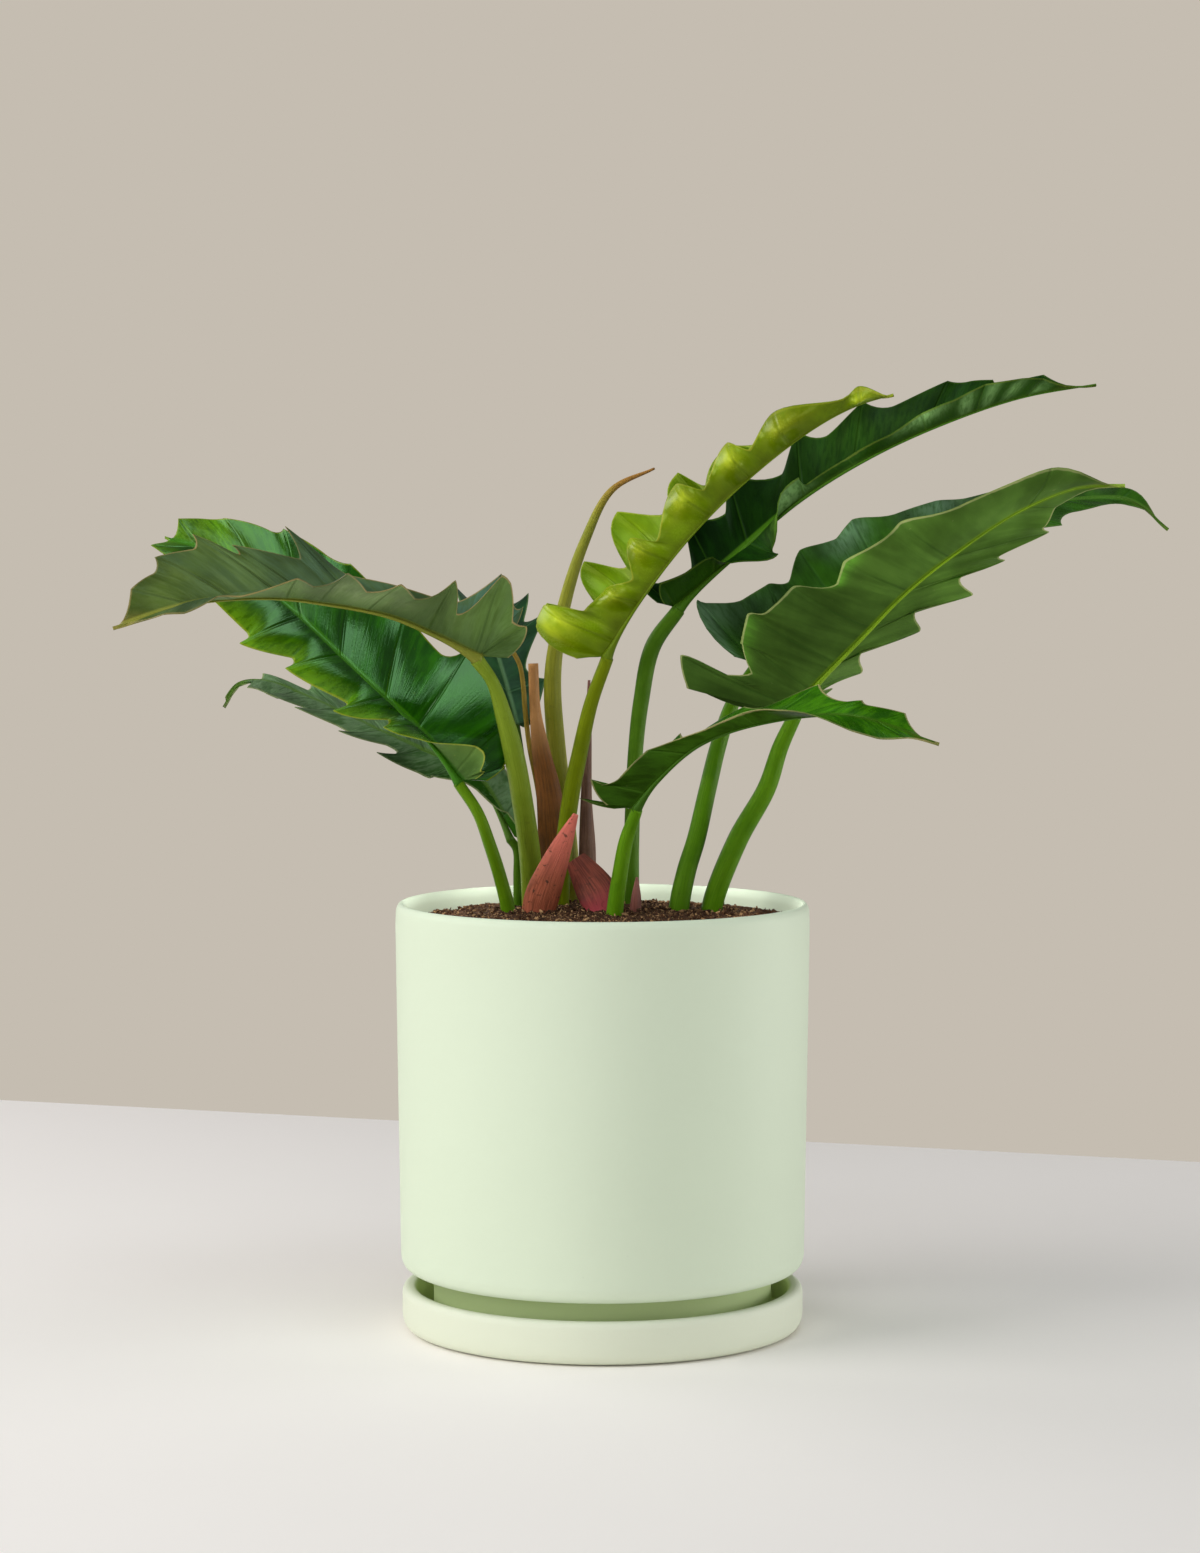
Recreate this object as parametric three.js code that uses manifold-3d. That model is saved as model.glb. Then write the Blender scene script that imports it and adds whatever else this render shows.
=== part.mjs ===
// Potted aroid house plant with narrow saw-edged leaves, in a pale mint ceramic cylinder on its saucer.
// Millimetres, +Z up, front of the plant towards -Y, origin at the centre of the saucer's underside.

import * as THREE from 'three';
import { mergeVertices } from 'three/addons/utils/BufferGeometryUtils.js';
import Module from 'manifold-3d';

// Driving dimensions of the pot and saucer
const POT_TOP_RADIUS = 105;
const POT_LOW_RADIUS = 102.6;
const POT_HEIGHT = 217;
const POT_WALL = 5.5;
const POT_SKIRT_Z = 30;
const POT_FOOT_RADIUS = 86;
const POT_FLOOR_TOP = 14;
const DRAIN_HOLE_RADIUS = 10;
const SAUCER_RADIUS = 102;
const SAUCER_WALL = 8;
const SAUCER_FLOOR = 5;
const SAUCER_HEIGHT = 22;
const ROUND_STEPS = 48;

// Driving dimensions of the soil
const SOIL_EDGE_Z = 207;
const SOIL_MOUND = 4.5;
const SOIL_FIT = 0.3;
const STEM_DEPTH = 15;
const HOLE_FIT = 0.9;
const HOLE_SIDES = 14;

// Driving dimensions shared by all leaves
const BLADE_THICKNESS = 0.9;
const RIB_THICKNESS = 1.5;
const STALK_GAP = 0.4;
const LOBE_SHARE = 0.16;
const COLUMN_SHARES = [0, 0.12, 0.55, 1];
const EVEN_POINT = 0.8;
const PLAIN_SHAPE = [1.5, 1.15, 1.7, 1];
const EDGE_RIPPLE = 1.5;
const PETIOLE_TIP_RADIUS = 1.9;
const STALK_SIDES = 10;
const UP = new THREE.Vector3(0, 0, 1);

const radians = (degrees) => (degrees * Math.PI) / 180;
const clamp01 = (value) => Math.min(1, Math.max(0, value));
const vec = (p) => new THREE.Vector3(p[0], p[1], p[2]);

// Shares of the margin, from the sinus at the stalk (0) round to the tip (1), where a half is described
const ANGLE_SHARES = [0, 0.08, LOBE_SHARE, 0.35, 0.6, 0.85, 1];
const WIDTH_SHARES = [0, 0.05, LOBE_SHARE, 0.32, 0.55, 0.8, 0.93, 1];
const LIFT_SHARES = [0, 0.25, 0.5, 0.75, 1];
const PLAIN_ANGLES = [130, 115, 92, 72, 60, 45, 20];

// Each half: its teeth, vein angle along ANGLE_SHARES in degrees, and lift above level in degrees along
// LIFT_SHARES or the half's own shares. A tooth is the place of its notch on the margin, the reach there
// in mm, the place of its point, and the reach there. Shape is two powers for the rise from notch to point
// and two for the fall: the first rounds the notch and the second rounds the point.
const LEAVES = [
  {
    name: 'blade_a_left_front', color: 0x6f7f4a, hook: 8,
    spine: [[-61, -25, 343], [-81, -32, 353], [-105, -42, 363], [-134, -55, 369], [-162, -64, 372],
      [-201, -70, 369], [-238, -74, 358]],
    left: {
      teeth: [[0, 14, 0.065, 27], [0.122, 23, 0.175, 42], [0.243, 16, 0.25, 37], [0.34, 21, 0.355, 29],
        [0.44, 21, 0.45, 35], [0.545, 22, 0.55, 29], [0.67, 23, 0.7, 25], [0.78, 24, 0.81, 25]],
      angles: [160, 125, 92, 72, 62, 45, 20], lift: [78, 34, 25, 0, -20], shape: [1.4, 1.7, 1.9, 1.2],
    },
    right: {
      teeth: [[0, 16, 0.08, 38], [0.12, 36, 0.165, 47], [0.24, 23, 0.33, 21], [0.433, 23, 0.523, 48],
        [0.545, 28, 0.65, 35], [0.665, 29, 0.695, 45], [0.735, 35, 0.775, 37], [0.82, 27, 0.86, 24]],
      angles: [135, 120, 98, 78, 70, 52, 22], lift: [66, 50, 52, 58, 58], shape: [1.8, 1, 1.4, 1],
    },
  },
  {
    name: 'blade_b_back', color: 0x2c4a33, hook: 8,
    spine: [[-45, 58, 305], [-50, 72, 322], [-57, 92, 343], [-63, 120, 358], [-70, 150, 365],
      [-78, 174, 366]],
    left: {
      teeth: evenTeeth(6, 28, [0.25, 0.5, 0.7, 1, 1, 0.8, 0.4, 0], 0.3),
      angles: PLAIN_ANGLES, lift: [40, 40, 40, 40, 40],
    },
    right: {
      teeth: [[0, 4, 0.08, 10], [0.14, 9, 0.26, 22], [0.35, 14, 0.49, 37], [0.55, 22, 0.61, 35],
        [0.68, 20, 0.75, 26], [0.82, 14, 0.87, 15]],
      angles: PLAIN_ANGLES, lift: [20, 10, 10, 20, 20],
    },
  },
  {
    name: 'blade_c_left_glossy', color: 0x2f6a1c, hook: 8,
    spine: [[-70, -12, 280], [-90, -4, 303], [-125, 4, 335], [-161, 12, 368], [-192, 20, 391],
      [-224, 28, 402]],
    left: {
      teeth: [[0, 8, 0.05, 12], [0.1, 12, 0.17, 19], [0.25, 11, 0.32, 17], [0.348, 9, 0.38, 32],
        [0.415, 19, 0.503, 34], [0.553, 22, 0.588, 43], [0.643, 30, 0.74, 34], [0.82, 24, 0.92, 24]],
      angles: [130, 115, 90, 66, 60, 45, 20], liftShares: [0, 0.06, 0.2, 0.4, 0.75, 1],
      lift: [85, 60, -38, -50, -50, -40], shape: [1.3, 1.8, 1.8, 1.3],
    },
    right: {
      teeth: [[0, 12, 0.06, 22], [0.1, 21, 0.19, 38], [0.225, 40, 0.293, 59], [0.35, 44, 0.42, 48],
        [0.5, 45, 0.56, 47], [0.64, 40, 0.71, 38], [0.76, 31, 0.82, 28], [0.87, 25, 0.91, 23]],
      angles: [130, 115, 98, 76, 65, 50, 20], lift: [55, 45, 50, 55, 50],
    },
  },
  {
    name: 'blade_d_left_low', color: 0x4e6b4c, hook: 8,
    spine: [[-45, 42, 247], [-65, 48, 278], [-90, 55, 290], [-118, 60, 302], [-153, 66, 318],
      [-178, 70, 327], [-191, 70, 325], [-199, 68, 313]],
    left: {
      teeth: [[0, 5, 0.06, 7], [0.12, 6, 0.2, 10], [0.28, 8, 0.36, 20], [0.4, 18, 0.455, 31],
        [0.52, 10, 0.55, 32], [0.618, 17, 0.655, 34], [0.715, 16, 0.73, 33], [0.775, 20, 0.815, 27]],
      angles: [120, 110, 90, 60, 55, 42, 20], lift: [50, -38, -22, -14, -20], shape: [1.5, 1.15, 2.6, 1],
    },
    right: {
      teeth: evenTeeth(8, 27, [0.15, 0.3, 0.42, 0.85, 0.95, 0.5, 0.06, 0], 0.3),
      angles: PLAIN_ANGLES, lift: [60, 45, 22, 18, 20],
    },
  },
  {
    name: 'blade_e_young_cupped', color: 0x86a325, hook: -4,
    spine: [[0, 20, 341], [19, 15, 370], [44, 8, 402], [72, 0, 430], [104, -8, 455], [126, -12, 467],
      [145, -15, 473]],
    left: {
      teeth: [[0, 17, 0.205, 43], [0.238, 14, 0.31, 38], [0.34, 17, 0.42, 40], [0.48, 18, 0.545, 30],
        [0.565, 14, 0.65, 22], [0.71, 12, 0.76, 18], [0.88, 10, 0.92, 9]],
      angles: [120, 108, 98, 92, 85, 65, 35], lift: [80, 80, 75, 65, 45], shape: [1, 1.7, 2, 1],
    },
    right: {
      teeth: [[0, 13, 0.19, 40], [0.22, 20, 0.278, 18], [0.328, 9, 0.388, 23], [0.42, 11, 0.523, 23],
        [0.56, 11, 0.648, 20], [0.68, 11, 0.755, 17], [0.885, 8, 0.92, 8]],
      angles: [130, 112, 95, 88, 80, 65, 35], lift: [82, 82, 78, 70, 50], shape: [1.5, 2.2, 1.6, 1.8],
    },
  },
  {
    name: 'blade_f_right_upper', color: 0x27491b, hook: 6,
    spine: [[37, 45, 366], [65, 50, 390], [102, 55, 421], [140, 58, 444], [178, 60, 461], [217, 60, 474],
      [256, 60, 481]],
    left: {
      teeth: [[0, 9, 0.12, 26], [0.225, 9, 0.26, 32], [0.325, 20, 0.35, 36], [0.433, 18, 0.465, 35],
        [0.52, 24, 0.575, 33], [0.635, 23, 0.715, 26], [0.76, 22, 0.795, 18], [0.817, 14, 0.875, 16]],
      angles: [125, 112, 98, 80, 68, 50, 20], lift: [70, 68, 62, 60, 45],
    },
    right: {
      teeth: [[0, 7, 0.16, 15], [0.2, 14, 0.24, 16], [0.27, 9, 0.305, 25], [0.33, 15, 0.44, 12],
        [0.46, 5.5, 0.54, 6], [0.62, 7, 0.675, 11], [0.73, 12, 0.78, 16], [0.84, 14, 0.88, 12]],
      angles: [125, 110, 90, 60, 60, 45, 20], liftShares: [0, 0.1, 0.21, 0.32, 0.6, 1],
      lift: [70, 40, -45, 60, 75, 70],
    },
  },
  {
    name: 'blade_g_right_large', color: 0x4d6b34, hook: 8,
    spine: [[96, 20, 312], [108, 14, 327], [130, 8, 350], [152, 2, 373], [175, -4, 392], [209, -10, 415],
      [239, -14, 427], [261, -16, 428]],
    left: {
      teeth: [[0, 7, 0.08, 14], [0.14, 12, 0.19, 26], [0.22, 10, 0.245, 30], [0.335, 8, 0.37, 34],
        [0.455, 15, 0.488, 41], [0.568, 17, 0.605, 34], [0.643, 22, 0.71, 36], [0.755, 22, 0.8, 17]],
      angles: [130, 110, 80, 60, 55, 42, 20], lift: [5, -38, -45, -45, -30], shape: [1.6, 1.5, 1.5, 1.4],
    },
    right: {
      teeth: [[0, 17, 0.035, 56], [0.07, 54, 0.1, 63], [0.19, 29, 0.205, 44], [0.22, 43, 0.23, 51],
        [0.275, 47, 0.31, 46], [0.398, 32, 0.41, 37], [0.5, 35, 0.52, 36], [0.64, 29, 0.8, 24]],
      angles: [124, 112, 98, 80, 65, 45, 20], lift: [62, 58, 50, 38, 22], shape: [1.4, 1.6, 1.5, 1.5],
    },
  },
  {
    name: 'blade_h_right_behind', color: 0x2b4f33, hook: 8,
    spine: [[78, 50, 337], [103, 60, 356], [135, 68, 382], [171, 72, 403], [213, 74, 416], [252, 72, 422],
      [276, 70, 421], [296, 68, 406]],
    left: {
      teeth: [[0, 10, 0.14, 44], [0.225, 31, 0.26, 30], [0.303, 25, 0.33, 37], [0.395, 33, 0.41, 40],
        [0.49, 32, 0.54, 29], [0.6, 27, 0.66, 26], [0.72, 24, 0.78, 22], [0.82, 18, 0.87, 15]],
      angles: [120, 108, 95, 78, 62, 42, 20], lift: [60, 45, 32, 30, 35], shape: [1.8, 1.7, 1.6, 1.5],
    },
    right: {
      teeth: [[0, 6, 0.1, 14], [0.16, 12, 0.22, 24], [0.3, 18, 0.36, 30], [0.42, 20, 0.48, 32],
        [0.53, 20, 0.59, 32], [0.64, 20, 0.71, 33], [0.79, 12, 0.815, 16], [0.9, 5, 0.93, 7]],
      angles: PLAIN_ANGLES, lift: [5, -30, -35, -35, -30],
    },
  },
  {
    name: 'blade_i_small_front', color: 0x3e6a2a, hook: 8,
    spine: [[15, -22, 267], [27, -28, 281], [48, -38, 299], [78, -48, 310], [121, -58, 314],
      [165, -62, 301]],
    left: {
      teeth: [[0, 8, 0.1, 17], [0.16, 14, 0.26, 35], [0.33, 22, 0.44, 26], [0.5, 24, 0.6, 31],
        [0.72, 15, 0.745, 15.5], [0.767, 15, 0.83, 19]],
      angles: PLAIN_ANGLES, lift: [40, 25, 25, 38, 25],
    },
    right: {
      teeth: [[0, 9, 0.035, 28], [0.06, 13, 0.13, 25], [0.2, 14, 0.27, 14], [0.418, 7, 0.5, 9],
        [0.58, 14, 0.69, 28], [0.8, 17, 0.86, 15]],
      angles: [140, 125, 100, 75, 60, 45, 20], lift: [75, 65, 40, -20, -30],
    },
  },
];

// Stalks of the leaves: drop of the end below the blade in mm, radii, and points from the soil line up
const PETIOLES = [
  { name: 'petiole_a', leaf: 0, drop: 3, radii: [5.8, 5.6, 5.4, 5.2, 4.4, 3.2], color: 0x74883a,
    points: [[-36, 38, 212], [-37, 25, 235], [-39.6, 6, 260], [-44.6, -10, 292], [-49, -16, 310],
      [-55, -21, 329]] },
  { name: 'petiole_b', leaf: 1, drop: 3, radii: [3.6, 3.4, 3.2, 2.8], color: 0x4f6d3a,
    points: [[-35, 62, 211], [-37, 61, 233], [-40, 59, 257], [-43, 56, 285]] },
  { name: 'petiole_c', leaf: 2, drop: 3.5, radii: [3.7, 3.4, 3.2, 2.9], color: 0x55852a,
    points: [[-48, 6, 211], [-52, 2, 229], [-57, -4, 246], [-63, -10, 263]] },
  { name: 'petiole_d', leaf: 3, drop: 3.8, radii: [2.4, 2.3, 2.2], color: 0x56752f,
    points: [[-44, 43, 211], [-44, 43, 226], [-44.5, 42.5, 240]] },
  { name: 'petiole_e', leaf: 4, drop: 2.7, radii: [4.7, 4.6, 4.4, 4.2, 3.6], color: 0x7f9338,
    points: [[-22, 40, 211], [-20, 37, 240], [-16, 33, 270], [-12.5, 30, 287], [-6, 25, 316]] },
  { name: 'petiole_f', leaf: 5, drop: 3, radii: [4.2, 4, 3.9, 4.1, 4.2], color: 0x4d7336,
    points: [[15, 43, 211], [15, 43, 240], [17, 43, 290], [20, 43, 317], [26, 43, 345]] },
  { name: 'petiole_g', leaf: 6, drop: 3, radii: [5.4, 5.3, 4.8, 4.2], color: 0x4f7a34,
    points: [[56, 22, 211], [69, 22, 246], [84, 22, 273], [91, 22, 294]] },
  { name: 'petiole_h', leaf: 7, drop: 3, radii: [5.3, 5, 4.8, 4.5, 4.2, 3.6], color: 0x4d7836,
    points: [[39, 16, 211], [43, 18, 231], [48, 21, 247], [54, 28, 272], [60, 37, 295], [68, 44, 317]] },
  { name: 'petiole_i', leaf: 8, drop: 3, radii: [4.3, 3.9, 3.6], color: 0x587d35,
    points: [[6, -15, 211], [9, -17, 234], [12, -19, 250]] },
];

// Other parts that rise from the soil: half-width across the view and half-depth along it, in mm
const SHOOTS = [
  { name: 'new_leaf_spike', color: 0x8f9440,
    points: [[-16, 66, 211], [-19, 65, 248], [-24, 64, 290], [-26, 62, 330], [-20, 60, 366], [-9, 58, 400],
      [5, 56, 426], [27, 54, 437]],
    widths: [5, 5, 4.8, 4.4, 3.4, 2.6, 1.7, 0.6], depths: [4.6, 4.6, 4.2, 4, 3.2, 2.6, 1.7, 0.6] },
  { name: 'sheath_brown_tall', color: 0x7c4a30,
    points: [[-26, 52, 211], [-26, 52, 240], [-28, 52, 268], [-32, 52, 290], [-35, 51, 312],
      [-36, 50, 336]],
    widths: [7.2, 7.6, 6.6, 4.8, 2.9, 2.6], depths: [2.6, 2.6, 2.4, 2.2, 1.8, 1.4] },
  { name: 'sheath_pink', color: 0xc0605a,
    points: [[-33, 0, 210], [-31, -1, 219], [-27, -3, 230], [-20.5, -6, 246], [-13.5, -9, 262]],
    widths: [8.4, 8.8, 7.8, 5.2, 1.4], depths: [3, 3.2, 2.8, 2, 0.8] },
  { name: 'sheath_purple', color: 0x6d4442,
    points: [[-8, 60, 210], [-8, 60, 238], [-8.5, 61, 264], [-7.5, 61, 300], [-7, 61, 327]],
    widths: [4.4, 4.4, 3, 1.8, 0.7], depths: [2.6, 2.6, 2.2, 1.6, 0.7] },
  { name: 'sheath_red_wide', color: 0xa8454a,
    points: [[0, 2, 212], [-2, 2.5, 219], [-6, 4, 226], [-14, 7, 238]],
    widths: [8, 10, 9.4, 5.5], depths: [3, 3.6, 3, 1.6] },
  { name: 'sheath_small', color: 0x9a5a3c,
    points: [[16.5, 2, 209], [17, 3, 218], [17.5, 4, 229]],
    widths: [3, 2.6, 0.6], depths: [2, 1.8, 0.6] },
  { name: 'dry_stalk', color: 0xb3a03a,
    points: [[-30, 57.5, 211], [-31, 57.5, 240], [-33.5, 57.5, 268], [-38, 56.5, 292], [-40.2, 50.5, 312],
      [-41.3, 45, 327], [-43, 42, 336], [-46.5, 40, 342.5], [-52, 38, 348]],
    widths: [1.3, 1.3, 1.3, 1.3, 1.3, 1.2, 1.2, 1.2, 1],
    depths: [1.3, 1.3, 1.3, 1.3, 1.3, 1.2, 1.2, 1.2, 1] },
];

// Smooth curve through the values of a table: cubic pieces with slopes from the neighbouring values
function table(keys, values, at) {
  const last = keys.length - 1;
  const x = Math.min(keys[last], Math.max(keys[0], at));
  let i = 0;
  while (i < last - 1 && x >= keys[i + 1]) i += 1;
  const slope = (k) => {
    if (k === 0) return (values[1] - values[0]) / (keys[1] - keys[0]);
    if (k === last) return (values[last] - values[last - 1]) / (keys[last] - keys[last - 1]);
    const a = keys[k] - keys[k - 1];
    const b = keys[k + 1] - keys[k];
    return (a * a * values[k + 1] + (b * b - a * a) * values[k] - b * b * values[k - 1]) / (a * b * (a + b));
  };
  const h = keys[i + 1] - keys[i];
  const f = (x - keys[i]) / h;
  const f2 = f * f;
  const f3 = f2 * f;
  return (2 * f3 - 3 * f2 + 1) * values[i] + (f3 - 2 * f2 + f) * h * slope(i)
    + (3 * f2 - 2 * f3) * values[i + 1] + (f3 - f2) * h * slope(i + 1);
}

// Midrib of a leaf: position and frame (along, outward level, upward) at a distance from the stalk
function midrib(leaf) {
  const curve = new THREE.CatmullRomCurve3(leaf.spine.map(vec), false, 'centripetal');
  curve.arcLengthDivisions = 400;
  const length = curve.getLength();
  const frame = (x) => {
    const share = clamp01(x / length);
    const along = curve.getTangentAt(share);
    const level = new THREE.Vector3().crossVectors(UP, along).normalize();
    const upward = new THREE.Vector3().crossVectors(along, level);
    const point = curve.getPointAt(share).addScaledVector(along, x - share * length);
    return { point, along, level, upward, share };
  };
  return { length, frame };
}

// Teeth of equal length for a half that is mostly hidden: width in mm, its share along WIDTH_SHARES,
// and depth of the notches as a share of the width
function evenTeeth(count, width, shares, depth) {
  const reach = (t) => Math.max(0, table(WIDTH_SHARES, shares, t)) * width;
  const deep = (t) => depth * clamp01(t / 0.08) * clamp01((1 - t) / 0.1);
  return Array.from({ length: count }, (_, k) => {
    const notch = k / count;
    const point = (k + EVEN_POINT) / count;
    return [notch, reach(notch) * (1 - deep(notch)), point, reach(point)];
  });
}

// Flat outline of one half at a tooth: stage 0 is its notch, 1 its point and 2 the next notch
function marginPoint(leaf, half, tooth, stage, length) {
  const [notch, notchReach, point, pointReach] = half.teeth[tooth];
  const [next, nextReach] = half.teeth[tooth + 1] ?? [1, 0];
  const rising = stage <= 1;
  const way = rising ? stage : 2 - stage;
  const [round, blunt] = (half.shape ?? PLAIN_SHAPE).slice(rising ? 0 : 2);
  const cut = (1 - way ** round) ** blunt;
  const t = rising ? notch + (point - notch) * stage : point + (next - point) * (stage - 1);
  const reach = pointReach - (pointReach - (rising ? notchReach : nextReach)) * cut;
  const angle = radians(table(ANGLE_SHARES, half.angles, t) - leaf.hook * (1 - cut));
  const base = length * clamp01((t - LOBE_SHARE) / (1 - LOBE_SHARE));
  return { along: base + reach * Math.cos(angle), out: reach * Math.sin(angle), base, wave: 1 - 2 * cut };
}

// Vein rows of the mesh as tooth and stage: more of them round the basal lobe, and the tip at the end
function veinRows(leaf) {
  const last = leaf.left.teeth.length - 1;
  const rows = [0, 0.25, 0.5, 0.75, 1].map((stage) => [0, stage]);
  for (let k = 1; k <= last; k += 1) rows.push([k, 0], [k, 0.5], [k, 1]);
  rows.push([last, 1.5], [last, 2]);
  return rows;
}

// Point of the blade: the flat point is bent up by the lift of its half, and waved near the margin
function bladePoint(rib, half, side, x, w, share, wave) {
  const at = rib.frame(x);
  const lift = radians(table(half.liftShares ?? LIFT_SHARES, half.lift, at.share));
  const ripple = EDGE_RIPPLE * share ** 1.6 * wave;
  return at.point
    .addScaledVector(at.level, side * (w * Math.cos(lift) - ripple * Math.sin(lift)))
    .addScaledVector(at.upward, w * Math.sin(lift) + ripple * Math.cos(lift));
}

// Closed leaf blade: the upper surface, an under surface a thickness below it, and walls round the edge
function bladeGeometry(leaf) {
  const rib = midrib(leaf);
  const rows = veinRows(leaf);
  const end = rows.length - 1;
  const columns = COLUMN_SHARES.length;
  const positions = [];
  const thick = [];
  const faces = [];
  const grid = { left: [], right: [] };
  const addVertex = (p, depth) => {
    positions.push(p.x, p.y, p.z);
    thick.push(depth);
    return thick.length - 1;
  };
  const root = addVertex(rib.frame(0).point, BLADE_THICKNESS + RIB_THICKNESS);
  const tip = addVertex(rib.frame(rib.length).point, BLADE_THICKNESS);
  rows.forEach(([tooth, stage], row) => {
    const margins = ['left', 'right'].map((s) => marginPoint(leaf, leaf[s], tooth, stage, rib.length));
    const base = (margins[0].base + margins[1].base) / 2;
    let vertex = root;
    if (row === end) vertex = tip;
    else if (base > 0.5) {
      const depth = BLADE_THICKNESS + RIB_THICKNESS * (1 - base / rib.length);
      vertex = addVertex(rib.frame(base).point, depth);
    }
    ['left', 'right'].forEach((s, k) => {
      const line = [vertex];
      for (let c = 1; c < columns; c += 1) {
        const share = COLUMN_SHARES[c];
        const x = (vertex === root ? 0 : base) * (1 - share) + margins[k].along * share;
        const side = k === 0 ? 1 : -1;
        const p = bladePoint(rib, leaf[s], side, x, margins[k].out * share, share, margins[k].wave);
        line.push(row === end ? tip : addVertex(p, BLADE_THICKNESS));
      }
      grid[s].push(line);
    });
  });
  const addFace = (a, b, c) => {
    if (a !== b && b !== c && c !== a) faces.push([a, b, c]);
  };
  for (let i = 0; i < rows.length - 1; i += 1) {
    for (let c = 0; c < columns - 1; c += 1) {
      const [l0, l1] = [grid.left[i], grid.left[i + 1]];
      const [r0, r1] = [grid.right[i], grid.right[i + 1]];
      addFace(l0[c], l1[c], l1[c + 1]);
      addFace(l0[c], l1[c + 1], l0[c + 1]);
      addFace(r0[c], r1[c + 1], r1[c]);
      addFace(r0[c], r0[c + 1], r1[c + 1]);
    }
  }
  const edge = [...grid.left[0].slice(1)];
  for (let i = 1; i < rows.length; i += 1) edge.push(grid.left[i][columns - 1]);
  for (let i = rows.length - 2; i >= 0; i -= 1) edge.push(grid.right[i][columns - 1]);
  for (let c = columns - 2; c >= 0; c -= 1) edge.push(grid.right[0][c]);
  return thicken(positions, thick, faces, edge);
}

// Solid from a surface: every vertex gets a twin below it along its normal, and the edge loop gets walls
function thicken(positions, thick, faces, edge) {
  const sheet = new THREE.BufferGeometry();
  sheet.setAttribute('position', new THREE.Float32BufferAttribute(positions, 3));
  sheet.setIndex(faces.flat());
  sheet.computeVertexNormals();
  const normal = sheet.getAttribute('normal');
  const count = thick.length;
  const all = [...positions];
  for (let i = 0; i < count; i += 1) {
    all.push(positions[3 * i] - normal.getX(i) * thick[i]);
    all.push(positions[3 * i + 1] - normal.getY(i) * thick[i]);
    all.push(positions[3 * i + 2] - normal.getZ(i) * thick[i]);
  }
  const index = [];
  for (const [a, b, c] of faces) index.push(a, b, c, a + count, c + count, b + count);
  for (let i = 0; i < edge.length; i += 1) {
    const a = edge[i];
    const b = edge[(i + 1) % edge.length];
    if (a !== b) index.push(a, b, b + count, a, b + count, a + count);
  }
  const solid = new THREE.BufferGeometry();
  solid.setAttribute('position', new THREE.Float32BufferAttribute(all, 3));
  solid.setIndex(index);
  return solid;
}

// Closed stalk along a curve with an oval section, capped flat at both ends
function stalkGeometry(points, widths, depths, steps) {
  const curve = new THREE.CatmullRomCurve3(points, false, 'centripetal');
  const keys = points.map((_, i) => i / (points.length - 1));
  const positions = [];
  const index = [];
  for (let i = 0; i <= steps; i += 1) {
    const centre = curve.getPoint(i / steps);
    const along = curve.getTangent(i / steps);
    const across = new THREE.Vector3(0, 1, 0).cross(along).normalize();
    const back = new THREE.Vector3().crossVectors(along, across);
    const w = table(keys, widths, i / steps);
    const d = table(keys, depths, i / steps);
    for (let k = 0; k < STALK_SIDES; k += 1) {
      const angle = (2 * Math.PI * k) / STALK_SIDES;
      const p = centre.clone().addScaledVector(across, w * Math.cos(angle));
      p.addScaledVector(back, d * Math.sin(angle));
      positions.push(p.x, p.y, p.z);
    }
  }
  for (let i = 0; i < steps; i += 1) {
    for (let k = 0; k < STALK_SIDES; k += 1) {
      const a = i * STALK_SIDES + k;
      const b = i * STALK_SIDES + ((k + 1) % STALK_SIDES);
      index.push(a, b, b + STALK_SIDES, a, b + STALK_SIDES, a + STALK_SIDES);
    }
  }
  const top = steps * STALK_SIDES;
  for (let k = 1; k < STALK_SIDES - 1; k += 1) {
    index.push(0, k + 1, k);
    index.push(top, top + k, top + k + 1);
  }
  const solid = new THREE.BufferGeometry();
  solid.setAttribute('position', new THREE.Float32BufferAttribute(positions, 3));
  solid.setIndex(index);
  return solid;
}

// Stalk points with a straight foot that stands in the soil
const withFoot = (points) => {
  const line = points.map(vec);
  return [line[0].clone().setZ(line[0].z - STEM_DEPTH), ...line];
};

// End of a petiole: its drop below the start of the rib of its blade
function petioleEnd(leaf, drop) {
  const at = midrib(leaf).frame(0);
  return at.point.addScaledVector(at.upward, -drop).addScaledVector(at.along, -STALK_GAP);
}

function petioleGeometry(stalk) {
  const points = [...withFoot(stalk.points), petioleEnd(LEAVES[stalk.leaf], stalk.drop)];
  const radii = [stalk.radii[0], ...stalk.radii, PETIOLE_TIP_RADIUS];
  return stalkGeometry(points, radii, radii, points.length + 4);
}

function shootGeometry(shoot) {
  const points = withFoot(shoot.points);
  const widths = [shoot.widths[0], ...shoot.widths];
  const depths = [shoot.depths[0], ...shoot.depths];
  return stalkGeometry(points, widths, depths, points.length + 4);
}

// Round body about the upright axis from a closed outline of radius and height
function roundBody(outline) {
  const points = outline.map(([r, z]) => new THREE.Vector2(r, z));
  const body = new THREE.LatheGeometry(points, ROUND_STEPS);
  body.rotateX(Math.PI / 2);
  return body;
}

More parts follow.
